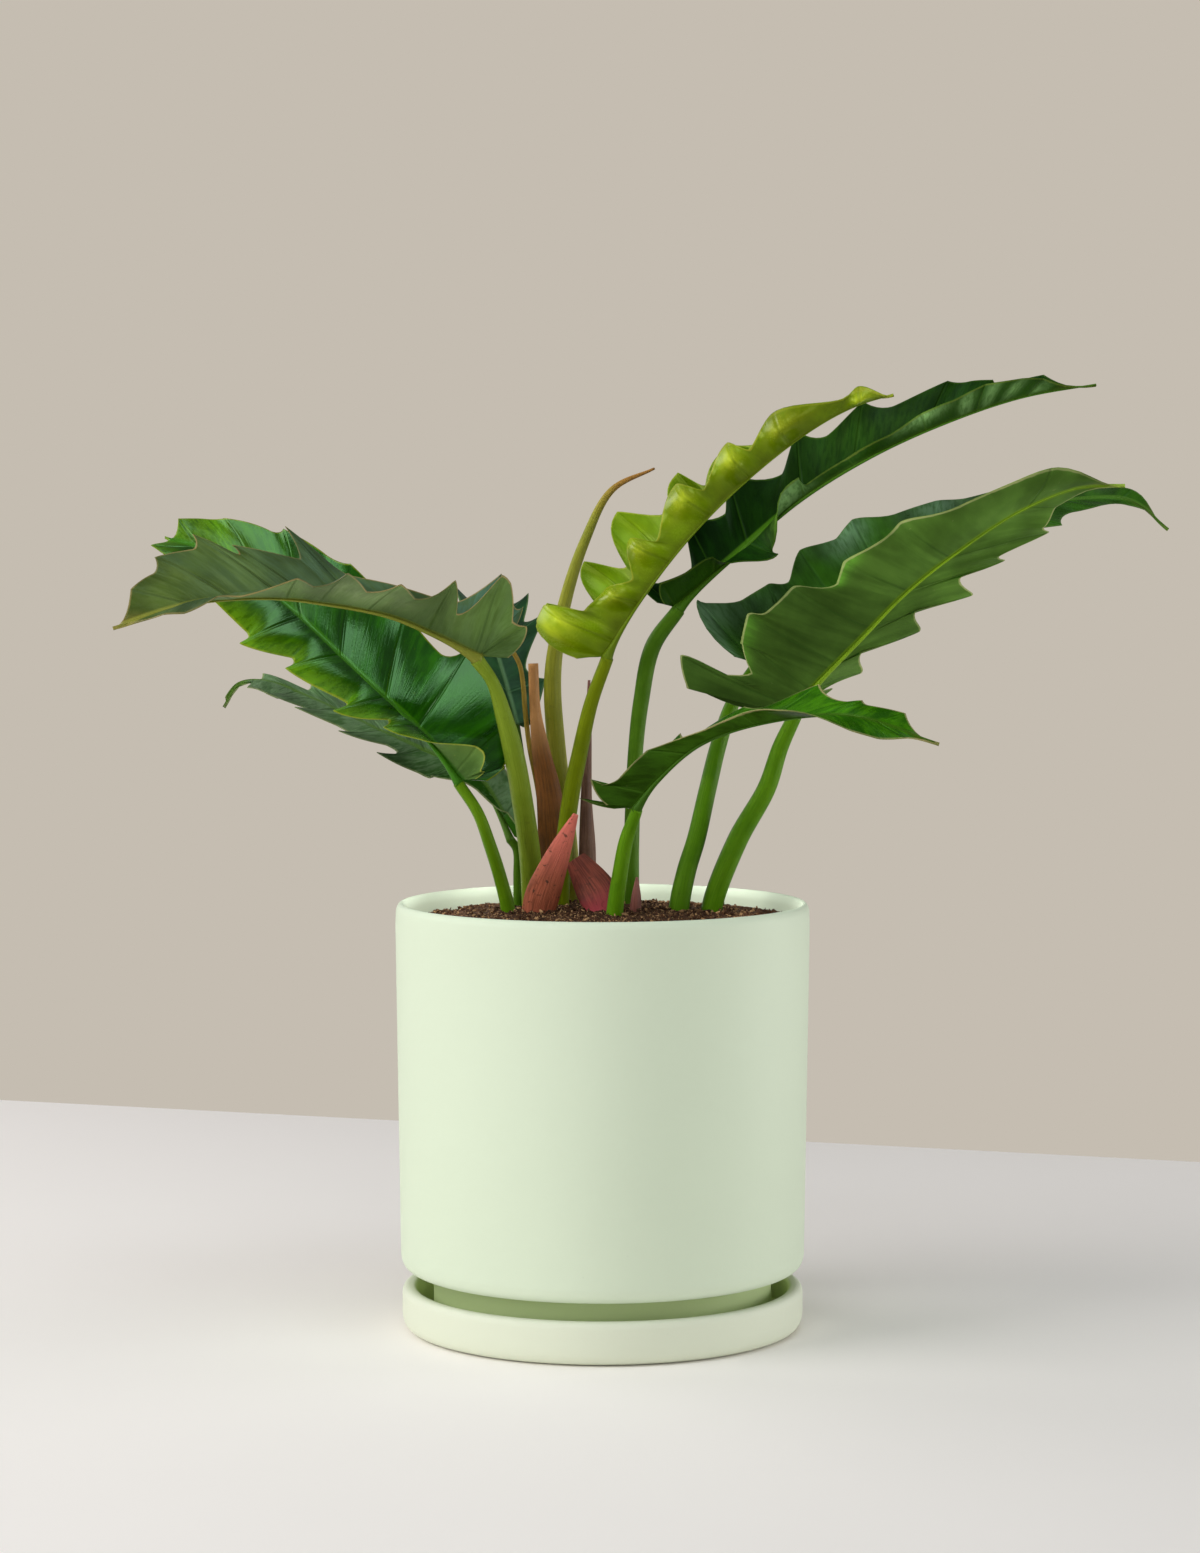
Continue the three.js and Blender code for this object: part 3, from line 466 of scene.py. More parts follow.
def potting_soil(b, entry):
    """Potting soil: dark peat and lighter bark by clod, with tan flecks on loose crumbs."""
    place = b.place()
    clod = b.noise(place, 420.0, 5.0, 0.7)
    skin = b.tinted(b.ramp(clod, 0.42, 0.7), entry["Dark Color"], entry["Mid Color"])
    for light in (b.ramp(b.noise(place, 900.0, 2.0), 0.58, 0.66), b.ramp(b.mark("bark"), 0.62, 1.0)):
        skin = b.tinted(light, skin, entry["Light Color"])
    return skin, b.ramp(clod, 0.3, 0.7, 0.7, 1.0), clod


def effect(build):
    """Shader node group with the name of its build function and the inputs listed for that name, where a
    colour has a code and a number a number as default. It is built once."""
    name = build.__name__
    if name in bpy.data.node_groups:
        return bpy.data.node_groups[name]
    tree = bpy.data.node_groups.new(name, "ShaderNodeTree")
    for key, default in EFFECT_INPUTS[name].items():
        is_colour = isinstance(default, str)
        socket = tree.interface.new_socket(key, in_out="INPUT", socket_type=SOCKETS[is_colour])
        socket.default_value = rgba(default) if is_colour else default
    for key in EFFECT_OUTPUTS:
        tree.interface.new_socket(key, in_out="OUTPUT", socket_type=SOCKETS[key == "Color"])
    entry = tree.nodes.new("NodeGroupInput").outputs
    leave = tree.nodes.new("NodeGroupOutput").inputs
    for key, value in zip(EFFECT_OUTPUTS, build(Bench(tree), entry)):
        tree.links.new(value, leave[key])
    return tree


def finish_material(name, build, values, bump=0.0, **shader):
    """Material whose group gives colour, roughness and height, and whose shader takes them."""
    material = bpy.data.materials.get(name) or bpy.data.materials.new(name)
    material.use_nodes = True
    material.node_tree.nodes.clear()
    bench = Bench(material.node_tree)
    put = bench.node("Group", values, node_tree=effect(build)).outputs
    relief = bench.node("Bump", {"Strength": 1.0, "Distance": bump, "Height": put["Height"]})
    surface = bench.node("BsdfPrincipled", {
        "Base Color": put["Color"], "Roughness": put["Roughness"], "Normal": relief.outputs[0],
        **{key.replace("_", " "): value for key, value in shader.items()}})
    bench.node("OutputMaterial", {"Surface": surface.outputs[0]})
    return material


def picked(settings, colour_name):
    """Colour of the setting with this name, or of the colour code."""
    return rgba(getattr(settings, colour_name, colour_name))


# Pot, saucer and soil, with lengths in millimetres

POT_COLUMNS, SOIL_COLUMNS = 192, 360
SOIL_ROWS = 150
HOLE_RADIUS, SAUCER_FLOOR, POT_FLOOR, SKIRT_EDGE = 10, 5, 14, 30
CORNER_RADIUS = 3.0
# Tones of the glaze's clouds and pin marks, and of its painted shade under the skirt, as shares of the glaze
# colour
CLOUD_TONE, PIN_TONE, PAINTED_SHADE_TONE = 0.94, 0.8, (0.78, 0.84, 0.54)

# Gap between soil and wall at the top and below it, and depth that still counts as the soil's top
SOIL_TOP_GAP, SOIL_GAP, SOIL_TOP_DEPTH = 0.5, 0.3, 1

# Loose crumbs: outline and sides of each, share of the mound's area that they cover, distance kept from its
# edge, greatest rise above it, range of size, stretch on each axis and range of unevenness
CRUMB_OUTLINE = ((0.0, -1), (0.95, -0.5), (0.8, 0.5), (0.0, 1))
CRUMB_SIDES, CRUMB_SEED = 6, 7
CRUMB_COVER, CRUMB_INSET, CRUMB_RISE = 0.985, 1.5, 1.6
CRUMB_SIZES, CRUMB_STRETCH, CRUMB_UNEVEN = (0.35, 1.6), (1.5, 0.8, 0.6), (0.8, 1.2)


def pot_inside(pot, gap):
    """Inner outline of the pot from its rim down to its floor, set in by a gap."""
    wall = pot.wall / MM
    top, low, foot = pot.top_radius / MM - wall, pot.low_radius / MM - wall, pot.foot_radius / MM
    return [(top - gap, 213), (top - 0.2 - gap, 200), (low - gap, 46), (low - 3.1 - gap, 39.6),
            (foot - 1 - gap, 37 + gap), (foot - 5.5 - gap, 33), (foot - 6 - gap, 28), (foot - 6 - gap, 17),
            (foot - 9 - gap, POT_FLOOR)]


def pot_outline(pot):
    """Outline of the pot from its drain hole, round the foot, up the outer wall and down the inner one."""
    top, low, foot, high = (v / MM for v in (pot.top_radius, pot.low_radius, pot.foot_radius, pot.height))
    return [(HOLE_RADIUS, POT_FLOOR), (HOLE_RADIUS, SAUCER_FLOOR), (foot - 1.5, SAUCER_FLOOR),
            (foot, SAUCER_FLOOR + 1.5), (foot, SKIRT_EDGE), (low - 7, SKIRT_EDGE), (low - 3.4, 31.2),
            (low - 1, 33.6), (low, 37), (top - 0.9, 140), (top, 206), (top - 0.3, high - 3.2),
            (top - 1.4, high - 0.9), (top - 2.9, high), (top - 4.4, high - 1), *pot_inside(pot, 0)]


def saucer_outline(pot):
    """Outline of the saucer from the middle of its underside to the middle of its floor."""
    r, high = pot.saucer_radius / MM, pot.saucer_height / MM
    inner = r - 8
    return [(0, 0), (r - 6, 0), (r - 2.6, 1.2), (r - 0.6, 4), (r, 8), (r, high - 3), (r - 0.9, high - 0.9),
            (r - 3, high), (inner + 2, high - 0.3), (inner + 0.4, high - 1.8), (inner, high - 4), (inner, 7),
            (inner - 2, SAUCER_FLOOR), (0, SAUCER_FLOOR)]


class PLANT_OT_pot(bpy.types.Operator):
    """Make the pot and its saucer from turned outlines"""

    bl_idname = "plant.pot"
    bl_label = "Pot and Saucer"

    def execute(self, context):
        pot = context.scene.plant_pot
        for name, cad_node, outline, closed, glaze in (
                ("pot_body", "pot", pot_outline(pot), True, pot.glaze),
                ("saucer_dish", "saucer", saucer_outline(pot), False, pot.saucer_glaze)):
            base = np.array(glaze[:])
            material = finish_material(name + "_glaze", matte_glaze, {
                "Glaze Color": rgba(base), "Cloud Color": rgba(base * CLOUD_TONE),
                "Pin Color": rgba(base * PIN_TONE), "Recess Color": rgba(base * PAINTED_SHADE_TONE),
                "Roughness": 0.62}, bump=0.00012, Specular_IOR_Level=0.35)
            grid = turned(rounded(outline, CORNER_RADIUS), POT_COLUMNS)
            part = part_of(grid, grid_faces(len(grid), POT_COLUMNS, closed), 0, {})
            dress(make_piece(name, *part, [material]), cad_node + "_glaze", cad_node)
        return {"FINISHED"}


class PLANT_OT_soil(bpy.types.Operator):
    """Make the mounded soil with its crumbs"""

    bl_idname = "plant.soil"
    bl_label = "Soil"

    def execute(self, context):
        soil, pot = context.scene.plant_soil, context.scene.plant_pot
        edge = (pot.top_radius - pot.wall) / MM - SOIL_TOP_GAP
        f = np.linspace(0, 1, SOIL_ROWS)
        rise = soil.edge_height / MM + soil.mound / MM * (1 - f ** 2)
        side = [(edge - 0.1, 200), *pot_inside(pot, SOIL_GAP)[2:], (0, POT_FLOOR)]
        grid = turned(np.vstack([np.stack([f * edge, rise], axis=1), side])[::-1], SOIL_COLUMNS)
        lumps = (soft_noise(grid, 9, 1) * 0.5 + soft_noise(grid, 3.4, 2) * 0.4
                 + np.abs(soft_noise(grid, 1.7, 3)) * 0.55)
        top = grid[..., 2] > soil.edge_height / MM - SOIL_TOP_DEPTH
        grid[..., 2] += np.where(top, lumps * soil.grain / MM, 0)
        bark = np.where(top, smooth_step(0.2, 0.9, soft_noise(grid, 2.2, 4)) * 0.6, 0)
        ground = part_of(grid, grid_faces(len(grid), SOIL_COLUMNS), 0, {"bark": bark})
        material = finish_material("potting_soil", potting_soil, {
            "Dark Color": rgba(soil.dark), "Mid Color": rgba(np.array(soil.dark) * 3.0),
            "Light Color": rgba(soil.light)}, bump=0.0012, Specular_IOR_Level=0.2)
        parts = joined([ground, self.crumbs(soil, edge)])
        dress(make_piece("soil_mound", *parts, [material]), "soil", "soil")
        return {"FINISHED"}

    def crumbs(self, soil, edge):
        """Loose chips: flattened six-sided barrels with random size, turn and place on the mound, from
        one seeded draw."""
        rng = np.random.default_rng(CRUMB_SEED)
        count = soil.crumbs
        shares = np.sqrt(rng.uniform(0, CRUMB_COVER, count))
        turn = rng.uniform(0, 2 * np.pi, count)
        radii = shares * (edge - CRUMB_INSET)
        rise = soil.edge_height / MM + soil.mound / MM * (1 - shares ** 2) + rng.uniform(0, CRUMB_RISE, count)
        centre = np.stack([radii * np.cos(turn), radii * np.sin(turn), rise], axis=1)
        size = rng.uniform(*CRUMB_SIZES, (count, 3)) * np.array(CRUMB_STRETCH)
        levels, each = len(CRUMB_OUTLINE), len(CRUMB_OUTLINE) * CRUMB_SIDES
        shape = turned(CRUMB_OUTLINE, CRUMB_SIDES).reshape(1, each, 3)
        points = shape * size[:, None] * rng.uniform(*CRUMB_UNEVEN, (count, each, 1))
        poles = np.r_[:CRUMB_SIDES, each - CRUMB_SIDES:each]
        points[:, poles] = shape[:, poles] * size[:, None]
        spin = np.linalg.qr(rng.normal(size=(count, 3, 3)))[0]
        spin *= np.linalg.det(spin)[:, None, None]
        points = np.einsum("nij,nkj->nki", spin, points) + centre[:, None]
        faces = grid_faces(levels, CRUMB_SIDES)[None] + each * np.arange(count)[:, None, None]
        bark = np.repeat(rng.uniform(0, 1, count) ** 1.5, each)
        return part_of(points, faces.reshape(-1, 4), 0, {"bark": bark})


# Leaves, with lengths in millimetres

# Shares of a margin or midrib where the tables give vein angles, widths and lifts
ANGLE_SHARES = (0, 0.08, 0.16, 0.35, 0.6, 0.85, 1)
WIDTH_SHARES = (0, 0.05, 0.16, 0.32, 0.55, 0.8, 0.93, 1)
LIFT_SHARES = (0, 0.25, 0.5, 0.75, 1)
PLAIN_ANGLES = (130, 115, 92, 72, 60, 45, 20)

# Share of a margin whose veins all leave the midrib at its base, and height of the ripple near the margin
LOBE_SHARE, EDGE_RIPPLE = 0.16, 1.5
# Reach of the rounded margin past its last points, and share of the thickness left there
LIP, MARGIN_THICKNESS = 0.3, 0.75

# Midrib: shares of the leaf's length where it starts and ends, height over width of its section, depth of its
# top below the blade's upper side, distance over which the stalk's radius fades, and radius at the tip with
# its growth towards the stalk
MIDRIB_STEPS = 1200
RIB_ROWS, RIB_COLUMNS = 90, 20
RIB_START, RIB_END = -0.004, 0.985
RIB_FLAT, RIB_SINK, RIB_FADE = 0.62, 0.3, 10
RIB_TIP, RIB_GROWTH = 0.4, 1.5
RIB_MARKS = dict(from_edge=9.0, from_rib=0.0, from_vein=9.0, tint=0.0, shade=1.0)

# Rows of the grid within one tooth, and its columns from the midrib out to the margin
TOOTH_STEPS = (0, 0.035, 0.09, 0.16, 0.23, 0.3, 0.37, 0.43, 0.47, 0.5, 0.53, 0.58, 0.65, 0.74, 0.83, 0.91,
               0.965)
SHARES = (0, 0.025, 0.05, 0.08, 0.115, 0.155, 0.2, 0.25, 0.31, 0.37, 0.43, 0.49, 0.55, 0.61, 0.67, 0.73,
          0.79, 0.85, 0.9, 0.94, 0.97, 0.988, 1)


def even_teeth(count, width, shares, depth):
    """Teeth of equal length for a half that is mostly hidden: reach = width times its share, less the
    depth at each notch."""
    def reach(t):
        return max(0.0, float(table(WIDTH_SHARES, shares, t))) * width

    rows = []
    for k in range(count):
        notch, point = k / count, (k + 0.8) / count
        deep = depth * min(1, notch / 0.08) * min(1, (1 - notch) / 0.1)
        rows.append((notch, reach(notch) * (1 - deep), point, reach(point)))
    return rows


def blade(slot, rib, spine, left, right, drop=3, hook=8, rib_scale=1):
    """One leaf: slot of its finish, radius of the midrib at the stalk, points of the midrib line, the two
    halves, depth of the stalk's end under that line, lean of the points towards the tip in degrees, and
    share of the usual thickness that the midrib keeps."""
    return dict(slot=slot, rib=rib, spine=spine, left=left, right=right, drop=drop, hook=hook,
                rib_scale=rib_scale)


def half(teeth, lift, angles=PLAIN_ANGLES, lift_shares=LIFT_SHARES, shape=(1.5, 1.15, 1.7, 1.0), pleat=1.0,
         swell=0.0, arch=0.0, curl=0.0, glow=0.0, patches=()):
    """One side of a blade: teeth as (notch place, reach there, point place, reach there) in shares of the
    margin and mm, lift above level in degrees, vein angles, shape of the teeth as rounding of notch and
    point on the rise and on the fall, heights in mm of the folds, of the swelling along each side vein, of
    the arch across and of the curled margin, strength of the painted light (a painted highlight in the
    second colour on the swellings with painted shade in the notches between them; below nought a painted
    highlight between the side veins instead), and patches of the second colour as (along, out, half-length,
    half-width, strength), partly painted sheen and partly the leaf's own tone, which darken the skin as
    painted shade where the strength is below nought."""
    return dict(teeth=teeth, lift=lift, angles=angles, lift_shares=lift_shares, shape=shape, pleat=pleat,
                swell=swell, arch=arch, curl=curl, glow=glow, patches=patches)


# Each half's painted light and patches lay painted highlight, painted sheen and painted shade on the blade,
# besides some of the leaf's own tone
LEAVES = {
    "a_left_front": blade(
        "leaf_underside_grey", 3.6,
        spine=[(-61, -25, 343), (-81, -32, 353), (-105, -42, 363), (-134, -55, 369), (-162, -64, 372),
            (-201, -70, 369), (-238, -74, 358)],
        left=half([(0, 14, 0.065, 27), (0.122, 23, 0.175, 42), (0.243, 16, 0.25, 37), (0.34, 21, 0.355, 29),
            (0.44, 21, 0.45, 35), (0.545, 22, 0.55, 29), (0.67, 23, 0.7, 25), (0.78, 24, 0.81, 25)],
            (78, 34, 25, 0, -20), (160, 125, 92, 72, 62, 45, 20), shape=(1.4, 1.7, 1.9, 1.2), pleat=1.6,
            arch=2.0, patches=[(0.42, 0.6, 0.14, 0.5, 0.8), (0.7, 0.5, 0.2, 0.6, 0.4),
            (0.45, 0.0, 0.5, 0.3, -0.3)]),
        right=half([(0, 16, 0.08, 38), (0.12, 36, 0.165, 47), (0.24, 23, 0.33, 21), (0.433, 23, 0.523, 48),
            (0.545, 28, 0.65, 35), (0.665, 29, 0.695, 45), (0.735, 35, 0.775, 37), (0.82, 27, 0.86, 24)],
            (66, 50, 52, 58, 58), (135, 120, 98, 78, 70, 52, 22), shape=(1.8, 1.0, 1.4, 1.0), pleat=1.3,
            patches=[(0.14, 0.6, 0.13, 0.8, 1.0), (0.42, 0.6, 0.25, 0.9, 0.45)])),
    "b_back": blade(
        "leaf_dark_blue", 2.8,
        spine=[(-45, 58, 305), (-50, 72, 322), (-57, 92, 343), (-63, 120, 358), (-70, 150, 365),
            (-78, 174, 366)],
        left=half(even_teeth(6, 28, (0.25, 0.5, 0.7, 1, 1, 0.8, 0.4, 0), 0.3), (40, 40, 40, 40, 40)),
        right=half([(0, 4, 0.08, 10), (0.14, 9, 0.26, 22), (0.35, 14, 0.49, 37), (0.55, 22, 0.61, 35),
            (0.68, 20, 0.75, 26), (0.82, 14, 0.87, 15)], (20, 10, 10, 20, 20))),
    "c_left_glossy": blade(
        "leaf_glossy", 2.8, drop=3.5,
        spine=[(-70, -12, 280), (-90, -4, 303), (-125, 4, 335), (-161, 12, 368), (-192, 20, 391),
            (-224, 28, 402)],
        left=half([(0, 8, 0.05, 12), (0.1, 12, 0.17, 19), (0.25, 11, 0.32, 17), (0.348, 9, 0.38, 32),
            (0.415, 19, 0.503, 34), (0.553, 22, 0.588, 43), (0.643, 30, 0.74, 34), (0.82, 24, 0.92, 24)],
            (85, 60, -38, -50, -50, -40), (130, 115, 90, 66, 60, 45, 20), (0, 0.06, 0.2, 0.4, 0.75, 1),
            shape=(1.3, 1.8, 1.8, 1.3), pleat=0.5, arch=2.0, patches=[(0.6, 1.05, 0.42, 0.45, 1.0),
            (0.5, 0.0, 0.5, 0.45, -0.4)]),
        right=half([(0, 12, 0.06, 22), (0.1, 21, 0.19, 38), (0.225, 40, 0.293, 59), (0.35, 44, 0.42, 48),
            (0.5, 45, 0.56, 47), (0.64, 40, 0.71, 38), (0.76, 31, 0.82, 28), (0.87, 25, 0.91, 23)],
            (55, 45, 50, 55, 50), (130, 115, 98, 76, 65, 50, 20), pleat=1.6, glow=-0.9,
            patches=[(0.95, 0.5, 0.16, 0.9, 0.9), (0.15, 0.6, 0.14, 0.9, -0.45)])),
    "d_left_low": blade(
        "leaf_dark_blue", 2.3, drop=3.6,
        spine=[(-45, 42, 247), (-65, 48, 278), (-90, 55, 290), (-118, 60, 302), (-153, 66, 318),
            (-178, 70, 327), (-191, 70, 325), (-199, 68, 313)],
        left=half([(0, 5, 0.06, 7), (0.12, 6, 0.2, 10), (0.28, 8, 0.36, 20), (0.4, 18, 0.455, 31),
            (0.52, 10, 0.55, 32), (0.618, 17, 0.655, 34), (0.715, 16, 0.73, 33), (0.775, 20, 0.815, 27)],
            (50, -38, -22, -14, -20), (120, 110, 90, 60, 55, 42, 20), shape=(1.5, 1.15, 4.0, 1.0), pleat=1.2,
            patches=[(0.16, 0.6, 0.25, 1.4, 1.8), (0.45, 0.9, 0.1, 0.4, -0.3)]),
        right=half(even_teeth(8, 27, (0.15, 0.3, 0.42, 0.85, 0.95, 0.5, 0.06, 0), 0.3),
            (60, 45, 22, 18, 20))),
    "e_young_cupped": blade(
        "leaf_young", 3.2, drop=2.7, hook=-4, rib_scale=0.5,
        spine=[(0, 20, 341), (19, 15, 370), (44, 8, 402), (72, 0, 430), (104, -8, 455), (126, -12, 467),
            (145, -15, 473)],
        left=half([(0, 17, 0.205, 43), (0.238, 14, 0.31, 38), (0.34, 17, 0.42, 40), (0.48, 18, 0.545, 30),
            (0.565, 14, 0.65, 22), (0.71, 12, 0.76, 18), (0.88, 10, 0.92, 9)], (80, 80, 75, 65, 45),
            (120, 108, 98, 92, 85, 65, 35), shape=(1.0, 2.0, 2.2, 1.2), pleat=0.3, swell=-6.0, curl=-4.0,
            glow=0.6),
        right=half([(0, 13, 0.19, 40), (0.22, 20, 0.278, 18), (0.328, 9, 0.388, 23), (0.42, 11, 0.523, 23),
            (0.56, 11, 0.648, 20), (0.68, 11, 0.755, 17), (0.885, 8, 0.92, 8)], (82, 82, 78, 70, 50),
            (130, 112, 95, 88, 80, 65, 35), shape=(1.5, 2.2, 1.6, 1.8), pleat=0.0, swell=-8.0, curl=6.0,
            glow=0.65, patches=[(0.5, 0.0, 0.6, 0.25, -0.4), (0.8, 0.5, 0.2, 0.9, -0.2)])),
    "f_right_upper": blade(
        "leaf_dark", 3.6, hook=6,
        spine=[(37, 45, 366), (65, 50, 390), (102, 55, 421), (140, 58, 444), (178, 60, 461), (217, 60, 474),
            (256, 60, 481)],
        left=half([(0, 9, 0.12, 26), (0.225, 9, 0.26, 32), (0.325, 20, 0.35, 36), (0.433, 18, 0.465, 35),
            (0.52, 24, 0.575, 33), (0.635, 23, 0.715, 26), (0.76, 22, 0.795, 18), (0.817, 14, 0.875, 16)],
            (70, 68, 62, 60, 45), (125, 112, 98, 80, 68, 50, 20), pleat=0.8,
            patches=[(0.2, 0.5, 0.25, 0.9, -0.6), (0.6, 0.6, 0.18, 0.8, 0.08)]),
        right=half([(0, 7, 0.16, 15), (0.2, 14, 0.24, 16), (0.27, 9, 0.305, 25), (0.33, 15, 0.44, 12),
            (0.46, 5.5, 0.54, 6), (0.62, 7, 0.675, 11), (0.73, 12, 0.78, 16), (0.84, 14, 0.88, 12)],
            (70, 40, -45, 60, 75, 70), (125, 110, 90, 60, 60, 45, 20), (0, 0.1, 0.21, 0.32, 0.6, 1),
            pleat=0.5, patches=[(0.4, 0.7, 0.05, 0.6, 1.0), (0.68, 0.9, 0.04, 0.4, 1.0),
            (0.755, 0.5, 0.012, 0.6, 0.8), (0.8, 0.5, 0.012, 0.6, 0.8), (0.845, 0.6, 0.01, 0.5, 0.7),
            (0.89, 0.5, 0.01, 0.5, 0.6)])),
    "g_right_large": blade(
        "leaf_underside_grey", 3.6,
        spine=[(96, 20, 312), (108, 14, 327), (130, 8, 350), (152, 2, 373), (175, -4, 392), (209, -10, 415),
            (239, -14, 427), (261, -16, 428)],
        left=half([(0, 7, 0.08, 14), (0.14, 12, 0.19, 26), (0.22, 10, 0.245, 30), (0.335, 8, 0.37, 34),
            (0.455, 15, 0.488, 41), (0.568, 17, 0.605, 34), (0.643, 22, 0.71, 36), (0.755, 22, 0.8, 17)],
            (5, -38, -45, -45, -30), (130, 110, 80, 60, 55, 42, 20), shape=(1.6, 1.5, 1.5, 1.4), pleat=1.4),
        right=half([(0, 17, 0.035, 56), (0.07, 54, 0.1, 63), (0.19, 29, 0.205, 44), (0.22, 43, 0.23, 51),
            (0.275, 47, 0.31, 46), (0.398, 32, 0.41, 37), (0.5, 35, 0.52, 36), (0.64, 29, 0.8, 24)],
            (62, 58, 50, 38, 22), (124, 112, 98, 80, 65, 45, 20), shape=(1.4, 1.6, 1.5, 1.5), pleat=0.8,
            arch=-2.0, curl=3.0, patches=[(0.215, 1.0, 0.02, 0.12, 1.0), (0.41, 1.0, 0.03, 0.1, 1.0),
            (0.25, 0.75, 0.26, 0.6, -0.48), (0.03, 0.6, 0.06, 0.8, -0.45), (0.7, 0.9, 0.12, 0.3, -0.25)])),
    "h_right_behind": blade(
        "leaf_dark_blue", 3.2,
        spine=[(78, 50, 337), (103, 60, 356), (135, 68, 382), (171, 72, 403), (213, 74, 416), (252, 72, 422),
            (276, 70, 421), (296, 68, 406)],
        left=half([(0, 10, 0.14, 44), (0.225, 31, 0.26, 30), (0.303, 25, 0.33, 37), (0.395, 33, 0.41, 40),
            (0.49, 32, 0.54, 29), (0.6, 27, 0.66, 26), (0.72, 24, 0.78, 22), (0.82, 18, 0.87, 15)],
            (60, 45, 32, 30, 35), (120, 108, 95, 78, 62, 42, 20), shape=(1.8, 1.7, 1.6, 1.5), pleat=1.2,
            patches=[(0.1, 0.85, 0.12, 0.3, 0.8), (0.4, 0.85, 0.03, 0.35, 0.6), (0.55, 0.8, 0.04, 0.4, 0.8),
            (0.25, 0.6, 0.08, 0.5, -0.4)]),
        right=half([(0, 6, 0.1, 14), (0.16, 12, 0.22, 24), (0.3, 18, 0.36, 30), (0.42, 20, 0.48, 32),
            (0.53, 20, 0.59, 32), (0.64, 20, 0.71, 33), (0.79, 12, 0.815, 16), (0.9, 5, 0.93, 7)],
            (5, -30, -35, -35, -30))),
    "i_small_front": blade(
        "leaf_dark", 2.8, rib_scale=0.6,
        spine=[(15, -22, 267), (27, -28, 281), (48, -38, 299), (78, -48, 310), (121, -58, 314),
            (165, -62, 301)],
        left=half([(0, 8, 0.1, 17), (0.16, 14, 0.26, 35), (0.33, 22, 0.44, 26), (0.5, 24, 0.6, 31),
            (0.72, 15, 0.745, 15.5), (0.767, 15, 0.83, 19)], (40, 25, 25, 38, 25), pleat=1.6),
        right=half([(0, 9, 0.035, 28), (0.06, 13, 0.13, 25), (0.2, 14, 0.27, 14), (0.418, 7, 0.5, 9),
            (0.58, 14, 0.69, 28), (0.8, 17, 0.86, 15)], (75, 65, 40, -20, -30),
            (140, 125, 100, 75, 60, 45, 20), pleat=1.0)),
}


class Midrib:
    """Line of a leaf from its stalk to its tip: place and frame (along, level, upward) at a distance."""

    def __init__(self, spine):
        self.points = curve_at(spine, np.linspace(0, 1, MIDRIB_STEPS))
        self.run = run_along(self.points)
        self.length = self.run[-1]
        self.slopes = unit(np.gradient(self.points, self.run, axis=0))

    def frame(self, x):
        """Spline point at distance x, going straight on past both ends. Level = up x along, upward =
        along x level."""
        x = np.asarray(x, float)
        inside = np.clip(x, 0, self.length)
        point, along = (np.stack([np.interp(inside, self.run, values[:, k]) for k in range(3)], axis=-1)
                        for values in (self.points, self.slopes))
        along = unit(along)
        level = unit(np.cross(UP, along))
        upward = np.cross(along, level)
        return point + along * (x - inside)[..., None], along, level, upward, inside / self.length


def margin_at(leaf, side, rows, run):
    """Flat outline of a half at rows = tooth number + stage / 2. The reach rises from notch to point and
    falls to the next notch as 1 - (1 - f^p)^q of the way f: p above 1 rounds the notch and q above 1 the
    point. The vein angle is taken from the half's table, and the point leans on by the hook."""
    teeth = np.asarray(side["teeth"], float)
    following = np.vstack([teeth[1:, :2], [1, 0]])
    k = np.minimum(rows.astype(int), len(teeth) - 1)
    stage = 2 * (rows - k)
    notch, notch_reach, point, point_reach = teeth[k].T
    ahead, ahead_reach = following[k].T
    rising = stage <= 1
    way = np.clip(np.where(rising, stage, 2 - stage), 0, 1)
    p_rise, q_rise, p_fall, q_fall = side["shape"]
    cut = (1 - way ** np.where(rising, p_rise, p_fall)) ** np.where(rising, q_rise, q_fall)
    t = np.where(rising, notch + (point - notch) * stage, point + (ahead - point) * (stage - 1))
    reach = point_reach - (point_reach - np.where(rising, notch_reach, ahead_reach)) * cut
    angle = np.radians(table(ANGLE_SHARES, side["angles"], t) - leaf["hook"] * (1 - cut))
    base = run * np.clip((t - LOBE_SHARE) / (1 - LOBE_SHARE), 0, 1)
    return base + reach * np.cos(angle), reach * np.sin(angle), base, 1 - 2 * cut, t


